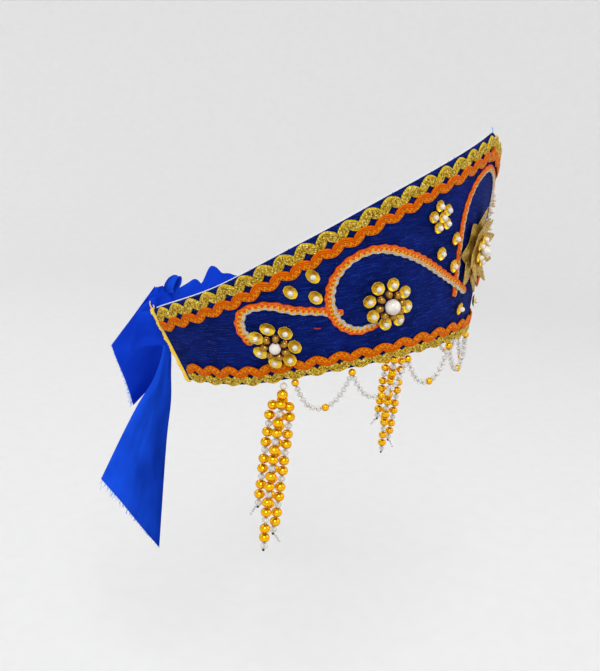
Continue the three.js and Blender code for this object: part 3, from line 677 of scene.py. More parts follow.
def orange_braid():
    shader = Shader("orange_braid", Roughness=0.6, Specular_IOR_Level=0.2, Specular_Tint=srgb(255, 140, 40))
    u, v, flat = shader.uv()
    rib = grooves(shader, v, RICRAC_THREADS, 0.2)
    shade = shader.streaks(flat, 0.5, 2.5, 2)
    yarn = shader.blend(shade, 0.3, 0.7, (204, 82, 2), (236, 116, 10))
    # Painted shade: darker orange in the grooves between the ribs.
    groove_shaded = shader.blend(rib, 0.1, 0.65, (172, 62, 2), yarn)
    line = zigzag(shader, u, v, 2.2, -0.05, 0.72, 0.1)
    shader.colour(shader.mix(shader.maths("MULTIPLY", line, 0.8), groove_shaded, (236, 176, 34)))
    shader.bump(line, 0.12)
    return shader.material


def scroll_braid():
    shader = Shader("scroll_braid", Roughness=0.6, Specular_IOR_Level=0.2, Specular_Tint=srgb(255, 190, 120))
    u, v, flat = shader.uv()
    inward = shader.maths("MULTIPLY", v, -1)
    rib = grooves(shader, v, SCROLL_THREADS, 0.18)
    shade = shader.streaks(flat, 0.6, 2.5, 2)
    orange = shader.blend(shade, 0.35, 0.7, (220, 76, 4), (246, 112, 22))
    silver = shader.blend(shade, 0.35, 0.7, (168, 160, 172), (226, 222, 226))
    border = shader.ramp(shader.maths("PINGPONG", u, 1.05), 0, 1.05, 0.2, 0.32)
    past = shader.maths("SUBTRACT", inward, border)
    two = shader.blend(past, -0.12, 0.12, orange, silver)
    # Painted shade: the colour turns darker and browner in the grooves between the ribs.
    groove_shaded = shader.blend(rib, 0.05, 0.5, shader.mix(0.4, two, (90, 40, 30)), two)
    pale = zigzag(shader, shader.maths("ADD", u, 1.05), inward, 2.1, -0.75, 0.1, 0.12)
    paled = shader.mix(shader.maths("MULTIPLY", pale, 0.3), groove_shaded, (250, 176, 110))
    line = zigzag(shader, u, inward, 2.1, -0.3, 0.8, 0.18)
    shader.colour(shader.mix(line, paled, (238, 192, 44)))
    shader.bump(line, 0.16)
    return shader.material


def plain_gold(name, colour, speckle, roughness, metallic, depth):
    """Foil or bead gold with a little unevenness, and painted shade where it faces the ground, as much as
    depth says.
    """
    shader = Shader(name, Metallic=metallic, Specular_Tint=srgb(255, 170, 40))
    uneven = shader.noise(shader.place(), 900, 2)
    gold = shader.blend(uneven, 0.3, 0.7, colour, speckle)
    shader.colour(shaded(shader, gold, depth))
    shader.roughness(shader.ramp(uneven, 0.3, 0.7, roughness, roughness + 0.12))
    return shader.material


def pearl(name, dark, light, clear, depth):
    shader = Shader(name, Roughness=0.22, Transmission_Weight=clear, Coat_Weight=0.5, Coat_Roughness=0.1)
    cloudy = shader.noise(shader.place(), 500, 2)
    tone = shader.blend(cloudy, 0.35, 0.7, dark, light)
    # Painted shade: the pearl turns darker on its underside, as much as depth says.
    low = shader.mix(depth, tone, (120, 100, 80))
    shader.colour(shader.blend(shader.facing_up(), -0.9, 0.2, low, tone))
    return shader.material


def lame():
    shader = Shader("gold_cloth", Metallic=0.55)
    _, _, flat = shader.uv()
    weave = shader.node("TexChecker", {"Vector": flat, "Scale": 2.6}).outputs[1]
    grain = shader.grains(2200)[0]
    shader.colour(shader.blend(grain, 0.2, 0.9, (150, 114, 30), (224, 184, 82)))
    shader.roughness(shader.ramp(grain, 0, 1, 0.5, 0.25))
    shader.bump(weave, 0.06)
    return shader.material


def satin(name, dark, light, border_sheen):
    """Satin with painted sheen: its light colour along one border, as much as border_sheen says, and in
    broad patches that are partly uneven tone and partly painted sheen.
    """
    shader = Shader(name, Specular_IOR_Level=0)
    _, v, flat = shader.uv()
    yarn = shader.streaks(flat, 0.15, 9, 2)
    broad = shader.streaks(flat, 0.03, 0.07, 2)
    # Painted sheen: the light colour along the border where v is 0, fading across the ribbon.
    border = shader.ramp(v, 0, RIBBON_WIDE, border_sheen, 0)
    tone = shader.maths("ADD", border, shader.ramp(broad, 0.35, 0.7, 0, 0.4))
    blue = shader.mix(tone, dark, light)
    shader.colour(shader.mix(shader.ramp(yarn, 0.55, 0.85, 0, 0.25), blue, (40, 100, 246)))
    shader.roughness(shader.ramp(yarn, 0.2, 0.8, 0.32, 0.45))
    shader.bump(yarn, 0.04)
    return shader.material


def paint(name, colour, roughness):
    """A surface of one colour with a fine unevenness."""
    shader = Shader(name)
    fine = shader.noise(shader.place(), 60, 3)
    shader.colour(shader.mix(fine, colour, tuple(min(c + 6, 255) for c in colour)))
    shader.roughness(shader.ramp(fine, 0, 1, roughness, roughness + 0.1))
    return shader.material


BROCADE = brocade()
FELT = felt()
GOLD_BRAID = gold_braid()
ORANGE_BRAID = orange_braid()
SCROLL_BRAID = scroll_braid()
# The last number of each gold is the strength of its painted shade where it faces the ground.
FOIL = plain_gold("sequin", (252, 198, 24), (255, 228, 80), 0.14, 0.75, 0.75)
GOLD_BEAD = plain_gold("gold_bead", (252, 184, 18), (255, 200, 40), 0.16, 0.95, 0.7)
BRONZE_BEAD = plain_gold("bronze_bead", (156, 116, 44), (190, 148, 70), 0.22, 0.9, 0.6)
# The last number of each pearl is the strength of its painted shade underneath.
PEARL = pearl("pearl", (228, 219, 208), (247, 241, 233), 0, 0.45)
MILKY = pearl("milky_bead", (246, 242, 236), (255, 253, 250), 0.6, 0.15)
LAME = lame()
SATIN = satin("satin", (12, 46, 178), (24, 78, 236), 0.3)
# Satin with painted shade for the loop and the long tail: darker all over, with a stronger painted sheen
# along one border.
SATIN_PAINTED_SHADE = satin("satin_painted_shade", (8, 36, 132), (28, 88, 244), 0.6)
THREAD = paint("thread", (222, 214, 196), 0.6)
GOLD_CORD = paint("gold_cord", (246, 206, 56), 0.5)
RED_THREAD = paint("red_thread", (176, 22, 44), 0.6)
FRAYED = paint("frayed_satin", (96, 160, 244), 0.6)
KNOT_BLACK = paint("dark_thread", (30, 24, 20), 0.6)


# Band and lining

def band_layer(face, back, rise, columns, levels, wrinkled, material):
    """Closed shell along the band with rounded edges. rise is how far it stands over the wall."""
    a = np.linspace(-1, 1, columns)
    height = wall_height(a) + np.interp(np.abs(a), *rise)
    half = (face - back) / 2
    middle = (face + back) / 2
    edge = np.linspace(0, math.pi, EDGE_STEPS)[1:-1]
    rows = [np.linspace(0, 1, levels), 1 + 0 * edge, np.linspace(1, 0, BACK_LEVELS), 0 * edge]
    beyond = [np.zeros(levels), np.sin(edge), np.zeros(BACK_LEVELS), -np.sin(edge)]
    aside = [np.ones(levels), np.cos(edge), -np.ones(BACK_LEVELS), -np.cos(edge)]
    rows, beyond, aside = (np.concatenate(part)[None] for part in (rows, beyond, aside))
    up = half + rows * (height[:, None] - 2 * half) + half * beyond
    out = np.repeat(middle + half * aside, columns, 0)
    places = np.repeat(a[:, None], up.shape[1], 1)
    out = out + wrinkled * np.where(out > middle, band_wrinkles(places, up), 0)
    piece = Piece()
    surface_grid(piece, on_wall(places, up, out), (places * RIM_HALF, up), material)
    return piece


def band_wrinkles(a, up):
    """Shallow creases that fan over the ends of the band."""
    along = np.abs(a) * RIM_HALF
    near_end = np.clip((along - CREASES_START) / CREASES_GROW, 0, 1) * np.clip((RIM_HALF - along) / 6, 0, 1)
    phase = along * 0.5 + up * 1.3 + 1.2 * np.sin(along * 0.31)
    crease = np.sin(phase) * 0.5 + np.sin(phase * 1.73 + 1.1) * 0.3
    edge = np.clip(up / 8, 0, 1) * np.clip((wall_height(a) - up) / 8, 0, 1)
    fine = CREASE_DEEP * crease * near_end * edge
    long_fold = np.sin(up * 0.9 - along * 0.12) * np.exp(-(((up - FOLD_UP) / 6) ** 2)) * near_end
    return fine + FOLD_DEEP * long_fold


LINING_FACE = -(BAND_WALL + GAP)
LINING_BACK = LINING_FACE - LINING_WALL
band_layer(0, -BAND_WALL, BAND_RISE, *BAND_GRID, 1, BROCADE).make("band", "brocade", "crown_band")
lining = band_layer(LINING_FACE, LINING_BACK, LINING_RISE, *LINING_GRID, 0, FELT)
lining.make("lining", "lining", "crown_lining")


# Braids

def braid_strip(first, second, out, thick, lift, ribs, length, material):
    """Flat braid between two rows of points, with ribs that run along it."""
    columns = 4 * ribs + 1
    v = np.linspace(-1, 1, columns)
    rib = np.abs(np.sin((v + 1) * ribs * math.pi / 2))
    crown = (1 - np.abs(v) ** 6) * (1 - RIB_DEEP + RIB_DEEP * rib)
    across = np.concatenate([v, v[::-1][1:-1:4]])
    height = np.concatenate([lift + thick * crown, np.full(len(across) - columns, lift)])
    piece = Piece()
    grid = ruled(first, second, out, (across + 1) / 2, height)
    surface_grid(piece, grid, (length[:, None], across), material)
    return piece


def edge_line(edge, share, short):
    """Places at shares of the way along an edge of the band, and the direction from it onto the wall."""
    line = TOP if edge == "top" else BOTTOM
    length = run_along(line)
    wanted = short + share * (length[-1] - 2 * short)
    a = np.interp(wanted, length, PLACES)
    point, _, _, out = wall_frame(a, wall_height(a) if edge == "top" else 0)
    along = unit(np.gradient(point, axis=0))
    across = unit(np.cross(out, along)) * (-1 if edge == "top" else 1)
    return point, across, out, wanted


def lobe(place):
    """1 at the crown of a lobe, at whole numbers, and 0 in the notches between."""
    away = np.minimum(2 * np.abs(place - np.round(place)), 1)
    return (1 - away**LOBE_ROUND) ** (1 / LOBE_ROUND)


def ricrac(name, edge, inset, width, swing, waves, phase, lift, colour):
    place = np.arange(waves * RICRAC_STEPS + 1) / RICRAC_STEPS
    place = place - RICRAC_ROW_SHIFT * np.sin(4 * math.pi * place) / (4 * math.pi)
    point, across, out, length = edge_line(edge, place / waves, TRIM_END)
    reach = width / 2 + swing
    uneven = 0.12 * np.sin(place * 2.3 + 2) + 0.08 * np.sin(place * 5.1)
    near = inset + uneven - reach + 2 * swing * (1 - lobe(place + phase + 0.5))
    far = inset + uneven + reach - 2 * swing * (1 - lobe(place + phase))
    sides = [point + across * near[:, None], point + across * far[:, None]]
    material = GOLD_BRAID if colour == "gold" else ORANGE_BRAID
    piece = braid_strip(*sides, out, RICRAC_THICK, lift, RICRAC_THREADS, length, material)
    piece.make(name.replace("ricrac", "braid"), colour + "_braid", name)


for name, row in RICRACS.items():
    ricrac(name, *row)


def smooth_route(route, spacing):
    """Points at an even spacing on a smooth curve through a route."""
    dense = catmull(with_ends(route), np.linspace(0, len(route) - 1, 60 * len(route)))
    length = run_along(dense)
    wanted = np.linspace(0, length[-1], int(length[-1] / spacing))
    return sampled(wanted, length, dense), wanted


def scroll(name, route, side, width, lifts):
    """Three-coloured braid along a route, its silver edge on the inside of the curl."""
    places, length = smooth_route(route, SCROLL_STEP)
    along = unit(np.gradient(places, axis=0))
    aside = np.stack([-along[:, 1], along[:, 0]], -1)
    turn = 2 * math.pi * length / SCROLL_WAVE
    to_end = length[-1] - length
    from_end = np.minimum(length, to_end)
    swing = SCROLL_SWING * np.clip(from_end / SCROLL_WAVE, 0, 1)
    half = width / 2 * np.sqrt(1 - 0.85 * (1 - np.clip(from_end / SCROLL_ROUND, 0, 1)) ** 2)
    outer = places + aside * (half + swing * np.sin(turn))[:, None]
    inner = places + aside * (-half + swing * np.sin(turn + 0.6))[:, None]
    lift = np.interp(to_end, [SCROLL_RAMP, 2 * SCROLL_RAMP], [lifts[1], lifts[0]])
    _, _, _, out = wall_frame(side * places[:, 0] / RIM_HALF, places[:, 1])
    sides = [on_wall(side * row[:, 0] / RIM_HALF, row[:, 1], lift) for row in (outer, inner)]
    piece = braid_strip(*sides, out, SCROLL_THICK, 0, SCROLL_THREADS, length, SCROLL_BRAID)
    piece.make(name + "_braid", "orange_braid", name)


for hand, side in HANDS:
    scroll(f"scroll_large_{hand}", LARGE_SCROLL, side, SCROLL_WIDTH, LARGE_LIFTS)
    scroll(f"scroll_small_{hand}", SMALL_SCROLL, side, SCROLL_WIDTH, SMALL_LIFTS)
scroll("scroll_brow", ONION + [(-x, y) for x, y in ONION[-2::-1]], 1, ONION_WIDTH, (GAP, GAP))


# Cords over the ends of the band

def end_cord(hand, side):
    height = wall_height(side)
    up = np.linspace(-0.6, height + 0.4, CORD_ROWS)
    point, step, _, out = wall_frame(side, up)
    wobble = 0.25 * np.sin(up * 0.9) + 0.15 * np.sin(up * 2.3)
    points = point + unit(step) * side * (GAP + 0.9) + out * (wobble + CORD_OUT)[:, None]
    piece = Piece()
    turn = np.linspace(0, 2 * math.pi * CORD_TURNS, CORD_ROWS)
    for strand in range(3):
        angle = turn + strand * 2 * math.pi / 3
        shift = unit(step) * np.cos(angle)[:, None] + out * np.sin(angle)[:, None]
        add_thread(piece, points + CORD_LAY * shift, CORD_STRAND, GOLD_CORD)
    for bend, reach in CORD_FRAYS:
        k = np.linspace(0, 1, 12)[:, None]
        loose = points[-1] + k * [0, 0.5, reach] + bend * np.sin(2.4 * k) * [0, 1, 0.2]
        add_thread(piece, loose, CORD_FRAY, GOLD_CORD)
    piece.make(f"end_cord_{hand}_thread", "gold_braid", f"end_cord_{hand}")


for hand, side in HANDS:
    end_cord(hand, side)


# Sequins, pearls and rosettes

def cup_shape(radius):
    """Foil cup facing +Z: corners and faces."""
    turn = turns(CUP_SIDES)
    reach = radius * (1 + 0.025 * np.cos(8 * turn))
    x, y = reach * np.cos(turn), reach * np.sin(turn)
    corners = [np.stack([share * x, share * y, np.full(CUP_SIDES, high)], -1) for share, high in CUP_PROFILE]
    faces = grid_faces(len(CUP_PROFILE), CUP_SIDES, closed_rows=True, closed_columns=True)
    return np.concatenate(corners), faces


def beside(a, up, x, y, out):
    """Point beside a place on the wall, at a height over it."""
    return bent_on_wall(np.array([[x, y, out]]), a, up, 0)[0]


def add_cup(piece, a, up, x, y, radius, lift):
    """One cup laid on the wall beside a place, a little askew, with its pearl."""
    corners, faces = cup_shape(radius)
    corners[:, 2] += corners[:, :2] @ RANDOM.uniform(-CUP_SKEW, CUP_SKEW, 2) + GAP
    piece.add(bent_on_wall(corners + [x, y, 0], a, up, lift), faces, FOIL)
    point = beside(a, up, x, y, lift + PEARL_STANDS + SEQUIN_PEARL)
    level, rise, out = wall_axes(a, up)
    direction = out + PEARL_SKEW * (level * RANDOM.uniform(-1, 1) + rise * RANDOM.uniform(-1, 1))
    add_bead(piece, point, direction, SEQUIN_PEARL, PEARL, 0.32)
    stitch = point + unit(direction) * SEQUIN_PEARL * 0.8
    add_bead(piece, stitch, direction, STITCH_RADIUS, THREAD, 0.02, detail=DOT)


def cup_ring(piece, a, up, cups, radius, circle, first, lift, side=1):
    for i in range(cups):
        angle = math.radians(first + 360 * i / cups)
        add_cup(piece, a, up, side * circle * math.cos(angle), circle * math.sin(angle), radius, lift)


for i, (along, up) in enumerate(LONE_SEQUINS):
    for hand, side in HANDS:
        piece = Piece()
        add_cup(piece, side * along / RIM_HALF, up, 0, 0, CUP_RADIUS, GAP)
        piece.make(f"sequin_{hand}_{i + 1}_cup", "sequin", f"sequin_{hand}_{i + 1}")


def rosette(name, hand, side, along, up, cups, radius, circle, first, pearl_radius, bronze, lift):
    a = side * along / RIM_HALF
    piece = Piece()
    cup_ring(piece, a, up, cups, radius, circle, first, lift, side)
    nodes = [f"{name}_{hand}"]
    level, rise, _ = wall_axes(a, up)
    if pearl_radius:
        ring = pearl_radius + bronze * 0.92
        for i in range(cups):
            angle = math.radians(first + 360 * (i + 0.5) / cups)
            x, y = side * ring * math.cos(angle), ring * math.sin(angle)
            centre = beside(a, up, x, y, lift + bronze + ROSETTE_PLATE)
            around = level * -math.sin(angle) * side + rise * math.cos(angle)
            add_bead(piece, centre, around, bronze, BRONZE_BEAD, 0.35, 0.85)
        centre = beside(a, up, 0, 0, lift + pearl_radius + ROSETTE_PLATE)
        add_bead(piece, centre, rise + 0.2 * level, pearl_radius, PEARL, 0.4, detail=FINEST)
        nodes.append(f"{name}_pearl_{hand}")
    else:
        add_cup(piece, a, up, 0, 0, radius, lift + 0.8)
    piece.make(f"{name}_{hand}_work", "sequin", *nodes)


for name, row in ROSETTES.items():
    for hand, side in HANDS:
        rosette(name, hand, side, *row)


# Ornament over the brow

def leaf(reach, wide, base, lift, turn):
    """Pointed leaf of stiff gold cloth with a fold down its middle: points of both faces, and uv."""
    rows, columns = 17, 9
    t = np.linspace(0, 1, rows)[:, None]
    v = np.linspace(-1, 1, columns)[None]
    swell = np.sin(math.pi * np.minimum(t / 0.52, 1) / 2) ** 0.8
    half = wide * swell * np.clip((1 - t) / 0.48, 0, 1) ** 0.75
    along = reach * (0.12 + 0.88 * t) + 0 * v
    aside = half * v
    out = base + lift * t**1.6 - 0.9 * np.abs(v) * half / wide + 0.25 * np.sin(6 * t + 3 * v) * t
    angle = math.radians(90 + turn)
    x = along * math.cos(angle) - aside * math.sin(angle)
    y = along * math.sin(angle) + aside * math.cos(angle)
    face = np.stack([x, y, out], -1)
    back = face[:, ::-1] - [0, 0, LEAF_WALL]
    uv = [np.concatenate([part, part[:, ::-1]], 1) for part in (along, aside)]
    return np.concatenate([face, back], 1), uv


def medallion():
    piece = Piece()
    for leaves, reach, wide, base, lift, turn in LEAF_RINGS:
        for i in range(leaves):
            stray = RANDOM.uniform(-1, 1, 3)
            grid, uv = leaf(
                reach * (1 + 0.04 * stray[0]), wide, base, lift + stray[1] * 0.5,
                turn + 360 * i / leaves + 3 * stray[2],
            )
            points = bent_on_wall(grid.reshape(-1, 3), 0, MEDALLION_UP, GAP).reshape(grid.shape)
            surface_grid(piece, points, uv, LAME)
    piece.make("medallion_leaves_cloth", "gold_cloth", "medallion_leaves")
    piece = Piece()
    cup_ring(piece, 0, MEDALLION_UP, *MEDALLION_CUPS)
    radius, lift = MEDALLION_PEARL
    add_bead(piece, on_wall(0, MEDALLION_UP, lift), (0.2, 0, 1), radius, PEARL, 0.35, detail=FINEST)
    piece.make("medallion_beads", "sequin", "medallion_cups", "medallion_pearl")


medallion()


# Swags of beads

def under_rim(along, drop):
    bottom, _ = ruling(along / RIM_HALF)
    return bottom - np.multiply.outer(drop, [0, 0, 1])


def swag(piece, start, end):
    """One swag: gold beads at its two top ends and its lowest point, and clear ones between."""
    x = np.linspace(-1, 1, 200)
    drop = RIM_BEAD_DROP + SWAG_SAG * (1 - np.abs(x) ** SWAG_SQUARE)
    line = under_rim(start + (x + 1) / 2 * (end - start), drop)
    length = run_along(line)
    half = length[-1] / 2
    free = half - 2 * SWAG_GOLD
    count = int(free / (2 * SWAG_CLEAR + SWAG_SLACK))
    spaced = SWAG_GOLD + free * (np.arange(count) + 0.5) / count
    spots = np.concatenate([spaced, 2 * half - spaced])
    along = unit(np.gradient(line, axis=0))
    for spot in spots:
        place, way = sampled(spot, length, line), sampled(spot, length, along)
        add_bead(piece, place, way, SWAG_CLEAR, MILKY, 0.3, 0.95, SMALL)
    add_bead(piece, sampled(half, length, line), along[len(along) // 2], SWAG_GOLD, GOLD_BEAD, 0.35)
    add_thread(piece, line[::8], SWAG_THREAD, THREAD)


def swags():
    piece = Piece()
    for start, end in zip(SWAG_ENDS[:-1], SWAG_ENDS[1:]):
        swag(piece, start, end)
    for along in SWAG_ENDS:
        point = under_rim(along, RIM_BEAD_DROP)
        add_bead(piece, point, (0.1, 0.1, 1), SWAG_GOLD, GOLD_BEAD, 0.35)
        add_thread(piece, [point, point + [0, 0, RIM_BEAD_DROP]], BEAD_THREAD, THREAD)
    piece.make("swag_beads", "gold_bead", "swags_right", "swags_left")


swags()


# Netted pendants

def net_spots(top, column, end):
    """Depths of the beads on one string of the net, with the bead at each: one white to two gold."""
    half = NET_PERIOD / 2
    first = top + NET_FIRST - NET_PERIOD - (column % 2) * half
    spots = []
    for white in first + NET_PERIOD * np.arange(NET_ROWS):
        spots.append((white, MILKY))
        spots.append((white + half - NET_GOLD_GAP / 2, GOLD_BEAD))
        spots.append((white + half + NET_GOLD_GAP / 2, GOLD_BEAD))
    return [(depth, kind) for depth, kind in spots if top - 0.3 <= depth <= end + 0.5]


def pendant(hand, side):
    piece = Piece()
    top = under_rim(side * PENDANT_ALONG, PENDANT_DROP)
    tilt = math.radians(PENDANT_TILT)

    def place(x, y, depth):
        return top + [x, y * math.cos(tilt) + depth * math.sin(tilt), -depth * math.cos(tilt)]

    down = place(0, 0, 1) - place(0, 0, 0)
    white_middle = GAP + PENDANT_WHITE
    gold_middle = white_middle + PENDANT_WHITE + PENDANT_GOLD
    add_bead(piece, place(0, 0, white_middle), down, PENDANT_WHITE, PEARL)
    add_bead(piece, place(0, 0, gold_middle), down, PENDANT_TOP, GOLD_BEAD, 0.4, detail=FINE)
    add_thread(piece, [place(0, 0, 0), place(0, 0, gold_middle + 2)], PENDANT_THREAD, THREAD)
    net_top = gold_middle + PENDANT_GOLD + 1.2
    for column, (end, swing) in enumerate(NET_ENDS):
        angle = math.radians(90 * column + NET_TURN)
        line = []
        for depth, kind in net_spots(net_top, column, end):
            loose = max(depth - net_top - NET_TIED, 0) / NET_OPENS
            spread = NET_RADIUS * min(1, NET_MOUTH + (depth - net_top) / NET_SWELLS)
            x = spread * math.cos(angle) + swing[0] * loose
            y = spread * math.sin(angle) + swing[1] * loose
            line.append(place(x, y, depth))
            centre = line[-1] + RANDOM.uniform(-NET_STRAY, NET_STRAY, 3)
            way = down + RANDOM.uniform(-NET_STRAY, NET_STRAY, 3)
            if kind == GOLD_BEAD:
                add_bead(piece, centre, way, NET_GOLD, GOLD_BEAD, 0.45, 0.86, FINE)
            else:
                add_bead(piece, centre, way, PENDANT_WHITE, MILKY, 0.4, 0.9)
        add_thread(piece, line, BEAD_THREAD, THREAD)
        knot = place(x, y, depth + PENDANT_GOLD * 0.95)
        add_bead(piece, knot, down, KNOT_RADIUS, KNOT_BLACK, 0.05, detail=TINY)
        away = np.array([math.cos(angle), math.sin(angle), -0.6])
        for k in range(LOOSE_BEADS if end < LONGEST_STRING else 0):
            stray = RANDOM.uniform(-0.5, 0.5, 3)
            centre = knot + away * (0.9 + 0.75 * k) - [0, 0, 0.4 * k**1.4] + stray * 0.5
            add_bead(piece, centre, away + stray, LOOSE_RADIUS, MILKY, 0.2, detail=TINY)
    piece.make(f"pendant_{hand}_beads", "gold_bead", f"pendant_{hand}")


for hand, side in HANDS:
    pendant(hand, side)


# Satin ribbon

def ribbon(name, rows, section, material):
    """Ribbon between two edges. section gives each point's share of the way across and its depth."""
    steps, columns = RIBBON_GRID
    dense = catmull(with_ends(rows), np.linspace(0, len(rows) - 1, steps))
    first, second = dense[:, :3], dense[:, 3:]
    along = unit(np.gradient((first + second) / 2, axis=0))
    out = unit(np.cross(along, unit(second - first)))
    v = np.linspace(0, 1, columns)[None]
    t = np.linspace(0, 1, steps)[:, None]
    grid = ruled(first, second, out, *section(t, v))
    piece = Piece()
    uv = run_along(grid[:, columns // 2])[:, None], RIBBON_WIDE * v
    surface_grid(piece, grid, uv, material, closed=False)
    made = piece.make(name, "satin", "ribbon_" + name)
    skin = made.modifiers.new("thickness", "SOLIDIFY")
    skin.thickness = RIBBON_WALL * MM
    skin.offset = 0
    return grid


def rolled(v):
    """Ribbon drawn together: a smooth face, with both borders turned under behind it."""
    turn = np.clip(np.abs(v - 0.5) - 0.25, 0, 0.25) / 0.25
    face = np.clip((v - 0.25) / 0.5, 0, 1)
    under = np.sign(v - 0.5) * -0.36 * np.clip((turn - 0.3) / 0.7, 0, 1)
    return face + under, ROLL_DEEP * np.sin(math.pi / 2 * np.clip(turn / 0.35, 0, 1))


def tie(hand, side):
    inside = LINING_BACK - GAP - 0.5
    rows = []
    for place, middle, high in TIE_SEWN[hand]:
        a = side * place
        centre = wall_height(a) * middle
        rows.append([*on_wall(a, centre + high / 2, inside), *on_wall(a, centre - high / 2, inside)])
    for x, y, top, low in TIES[hand]:
        rows.append([x, y, top, x, y, low])

    def section(t, v):
        drawn = np.clip((t - 0.12) / 0.25, 0, 1)
        share, depth = rolled(v)
        crumple = CRUMPLES[hand] * np.clip((t - 0.3) / 0.2, 0, 1)
        waves = np.sin(23 * t + 5 * v) + 0.6 * np.sin(11 * v + 31 * t + 1)
        return v + (share - v) * drawn, side * (depth * drawn + crumple * waves * np.sin(math.pi * v))

    ribbon(f"tie_{hand}", rows, section, SATIN)


for hand, side in HANDS:
    tie(hand, side)


def knot():
    """Wrapped knot: a rounded lump with the folds of the ribbon round it."""
    rows, columns = 60, 90
    t = np.linspace(0.02, math.pi - 0.02, rows)[:, None]
    p = np.linspace(0, 2 * math.pi, columns, endpoint=False)[None]
    folds = 0.06 * np.abs(np.sin(2.5 * p + 1.4 * t)) + 0.05 * np.sin(9 * t + 2 * p)
    waist = 0.1 * np.exp(-(((p - 3.5 - 0.3 * np.cos(t)) / 0.16) ** 2))
    swell = 0.93 + folds - waist * np.sin(t)
    x = KNOT_SIZE[0] * np.sin(t) * np.cos(p) * swell
    y = KNOT_SIZE[1] * np.sin(t) * np.sin(p) * swell
    z = KNOT_SIZE[2] * np.cos(t) * swell + 0 * p
    grid = np.stack([x, y, z], -1) + KNOT
    piece = Piece()
    surface_grid(piece, grid, (t * 12, p * 9), SATIN)
    piece.make("knot", "satin", "ribbon_knot")


knot()


def loop_section(t, v):
    return v, 0.5 * np.sin(math.pi * v) + 0.3 * np.sin(9 * v + 4 * t)


def short_section(t, v):
    return v, 1.1 * np.sin(math.pi * v) * np.sin(1.2 + 3 * v - 2 * t) + 0.4 * np.sin(8 * v + 3 * t) * (1 - t)


def long_section(t, v):
    fold = 2.6 * np.sin(math.pi * v) * np.sin(2.4 + 4.2 * v - 1.6 * t)
    return v, fold * (0.35 + 0.65 * t) + 0.5 * np.sin(11 * v + 2 * t) * (1 - t)


def fray(name, cut, hang, longest, worn):
    """Loose threads of the weave along a cut edge, longest where the cut has come undone."""
    piece = Piece()
    length = run_along(cut)
    for spot in np.sort(RANDOM.uniform(0, 1, FRAY_THREADS)):
        start = sampled(spot * length[-1], length, cut)
        undone = 0.2 + 0.8 * max(1 - 1.6 * abs(spot - worn), 0) * RANDOM.uniform(0.3, 1)
        k = np.linspace(-0.15, 1, 6)[:, None]
        way = hang + RANDOM.normal(0, 0.28, 3)
        curl = RANDOM.normal(0, 0.22, 3) * k**2
        add_thread(piece, start + (way * k + curl) * longest * undone, FRAY_RADIUS, FRAYED, sides=4)
    piece.make(name, "satin")


# The loop and the long tail take the satin with painted shade.
ribbon("loop", UPRIGHT_LOOP, loop_section, SATIN_PAINTED_SHADE)
for name, rows, section, flat_size, longest, worn, satin_kind in (
    ("tail_short", SHORT_TAIL, short_section, SHORT_FLAT, 2.6, 1, SATIN),
    ("tail_long", LONG_TAIL, long_section, LONG_FLAT, 4.2, 0, SATIN_PAINTED_SHADE),
):
    grid = ribbon(name, rows, section, satin_kind)
    middle = grid[:, RIBBON_GRID[1] // 2]
    fray(name + "_fray", grid[-1], unit(middle[-1] - middle[-6]), longest, worn)


# Stray threads

def stray_threads():
    piece = Piece()
    for _ in range(STRAY_THREADS):
        a = RANDOM.uniform(-0.98, 0.98)
        start = on_wall(a, wall_height(a) - 0.2, RANDOM.uniform(-BAND_WALL, 0))
        way = [0, 0, 1] + RANDOM.normal(0, 0.6, 3)
        curl = RANDOM.normal(0, 0.3, 3)
        reach = RANDOM.uniform(0.2, 0.6)
        k = np.linspace(0, 1, 5)[:, None]
        add_thread(piece, start + (way * k + curl * k**2) * reach, STRAY_RADIUS, BROCADE, sides=4)
    top = on_wall(0, wall_height(0), -0.6)
    k = np.linspace(0, 1, 8)[:, None]
    add_thread(piece, top + k * [0.8, 1.0, 2.4] + np.sin(3 * k) * [0.6, 0, 0], POINT_THREAD, FRAYED)
    fleck = [on_wall(-along / RIM_HALF, up, 0.25) for along, up in RED_FLECK]
    add_thread(piece, fleck, RED_RADIUS, RED_THREAD)
    piece.make("stray_threads", "brocade")


stray_threads()


# Camera, lights and the studio

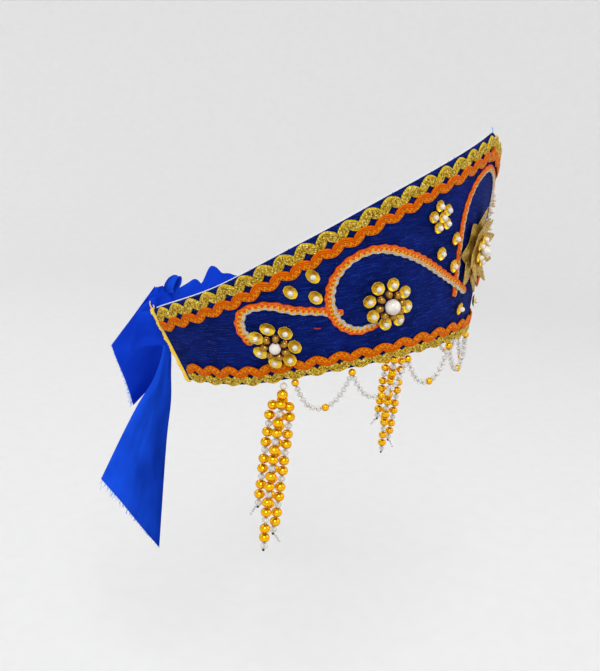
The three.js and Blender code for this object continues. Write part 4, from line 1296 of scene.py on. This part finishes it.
def camera():
    turn, rise = math.radians(VIEW_TURN), math.radians(VIEW_RISE)
    forward = Vector((math.cos(turn) * math.cos(rise), math.sin(turn) * math.cos(rise), -math.sin(rise)))
    right = forward.cross(Vector((0, 0, 1))).normalized()
    up = right.cross(forward)
    roll = math.radians(VIEW_ROLL)
    x = math.cos(roll) * right + math.sin(roll) * up
    y = -math.sin(roll) * right + math.cos(roll) * up
    place = (VIEW_SHIFT[0] * x + VIEW_SHIFT[1] * y - VIEW_DISTANCE * forward) * MM
    data = bpy.data.cameras.new("camera")
    data.sensor_width = SENSOR
    data.lens = LENS
    data.clip_start = 0.01
    made = bpy.data.objects.new("camera", data)
    bpy.context.scene.collection.objects.link(made)
    made.matrix_world = Matrix.Translation(place) @ Matrix((x, y, -forward)).transposed().to_4x4()
    bpy.context.scene.camera = made


def lamp(name, place, size, power):
    data = bpy.data.lights.new(name, "AREA")
    data.shape = "DISK"
    data.size = size
    data.energy = power
    made = bpy.data.objects.new(name, data)
    made.location = place
    made.rotation_euler = (-Vector(place)).to_track_quat("-Z", "Y").to_euler()
    bpy.context.scene.collection.objects.link(made)


def studio():
    """Pale floor that curves up into a round wall, open above."""
    profile = [(FLOOR_RADIUS, 0)]
    for angle in np.linspace(0, math.pi / 2, 12)[1:]:
        out, up = FLOOR_CURVE * math.sin(angle), FLOOR_CURVE * (1 - math.cos(angle))
        profile.append((FLOOR_RADIUS + out, up))
    profile.append((FLOOR_RADIUS + FLOOR_CURVE, STUDIO_HIGH))
    turn = turns(STUDIO_SIDES)
    x, y = np.cos(turn), np.sin(turn)
    rings = [np.stack([r * x, r * y, np.full(STUDIO_SIDES, z - FLOOR_DOWN)], -1) for r, z in profile]
    corners = np.concatenate(rings)
    faces = grid_faces(len(rings), STUDIO_SIDES, closed_columns=True) + [list(range(STUDIO_SIDES))]
    mesh = bpy.data.meshes.new("floor")
    mesh.from_pydata(corners.tolist(), [], faces)
    mesh.polygons.foreach_set("use_smooth", [True] * len(faces))
    mesh.materials.append(paint("floor", (236, 236, 236), 0.8))
    made = bpy.data.objects.new("floor", mesh)
    bpy.context.scene.collection.objects.link(made)


camera()
studio()
for name, row in LAMPS.items():
    lamp(name, *row)
world = bpy.data.worlds.new("world")
world.use_nodes = True
world.node_tree.nodes["Background"].inputs[0].default_value = (1, 1, 1, 1)
world.node_tree.nodes["Background"].inputs[1].default_value = WORLD_STRENGTH
bpy.context.scene.world = world
bpy.context.scene.view_settings.view_transform = "Standard"

bpy.context.view_layer.update()
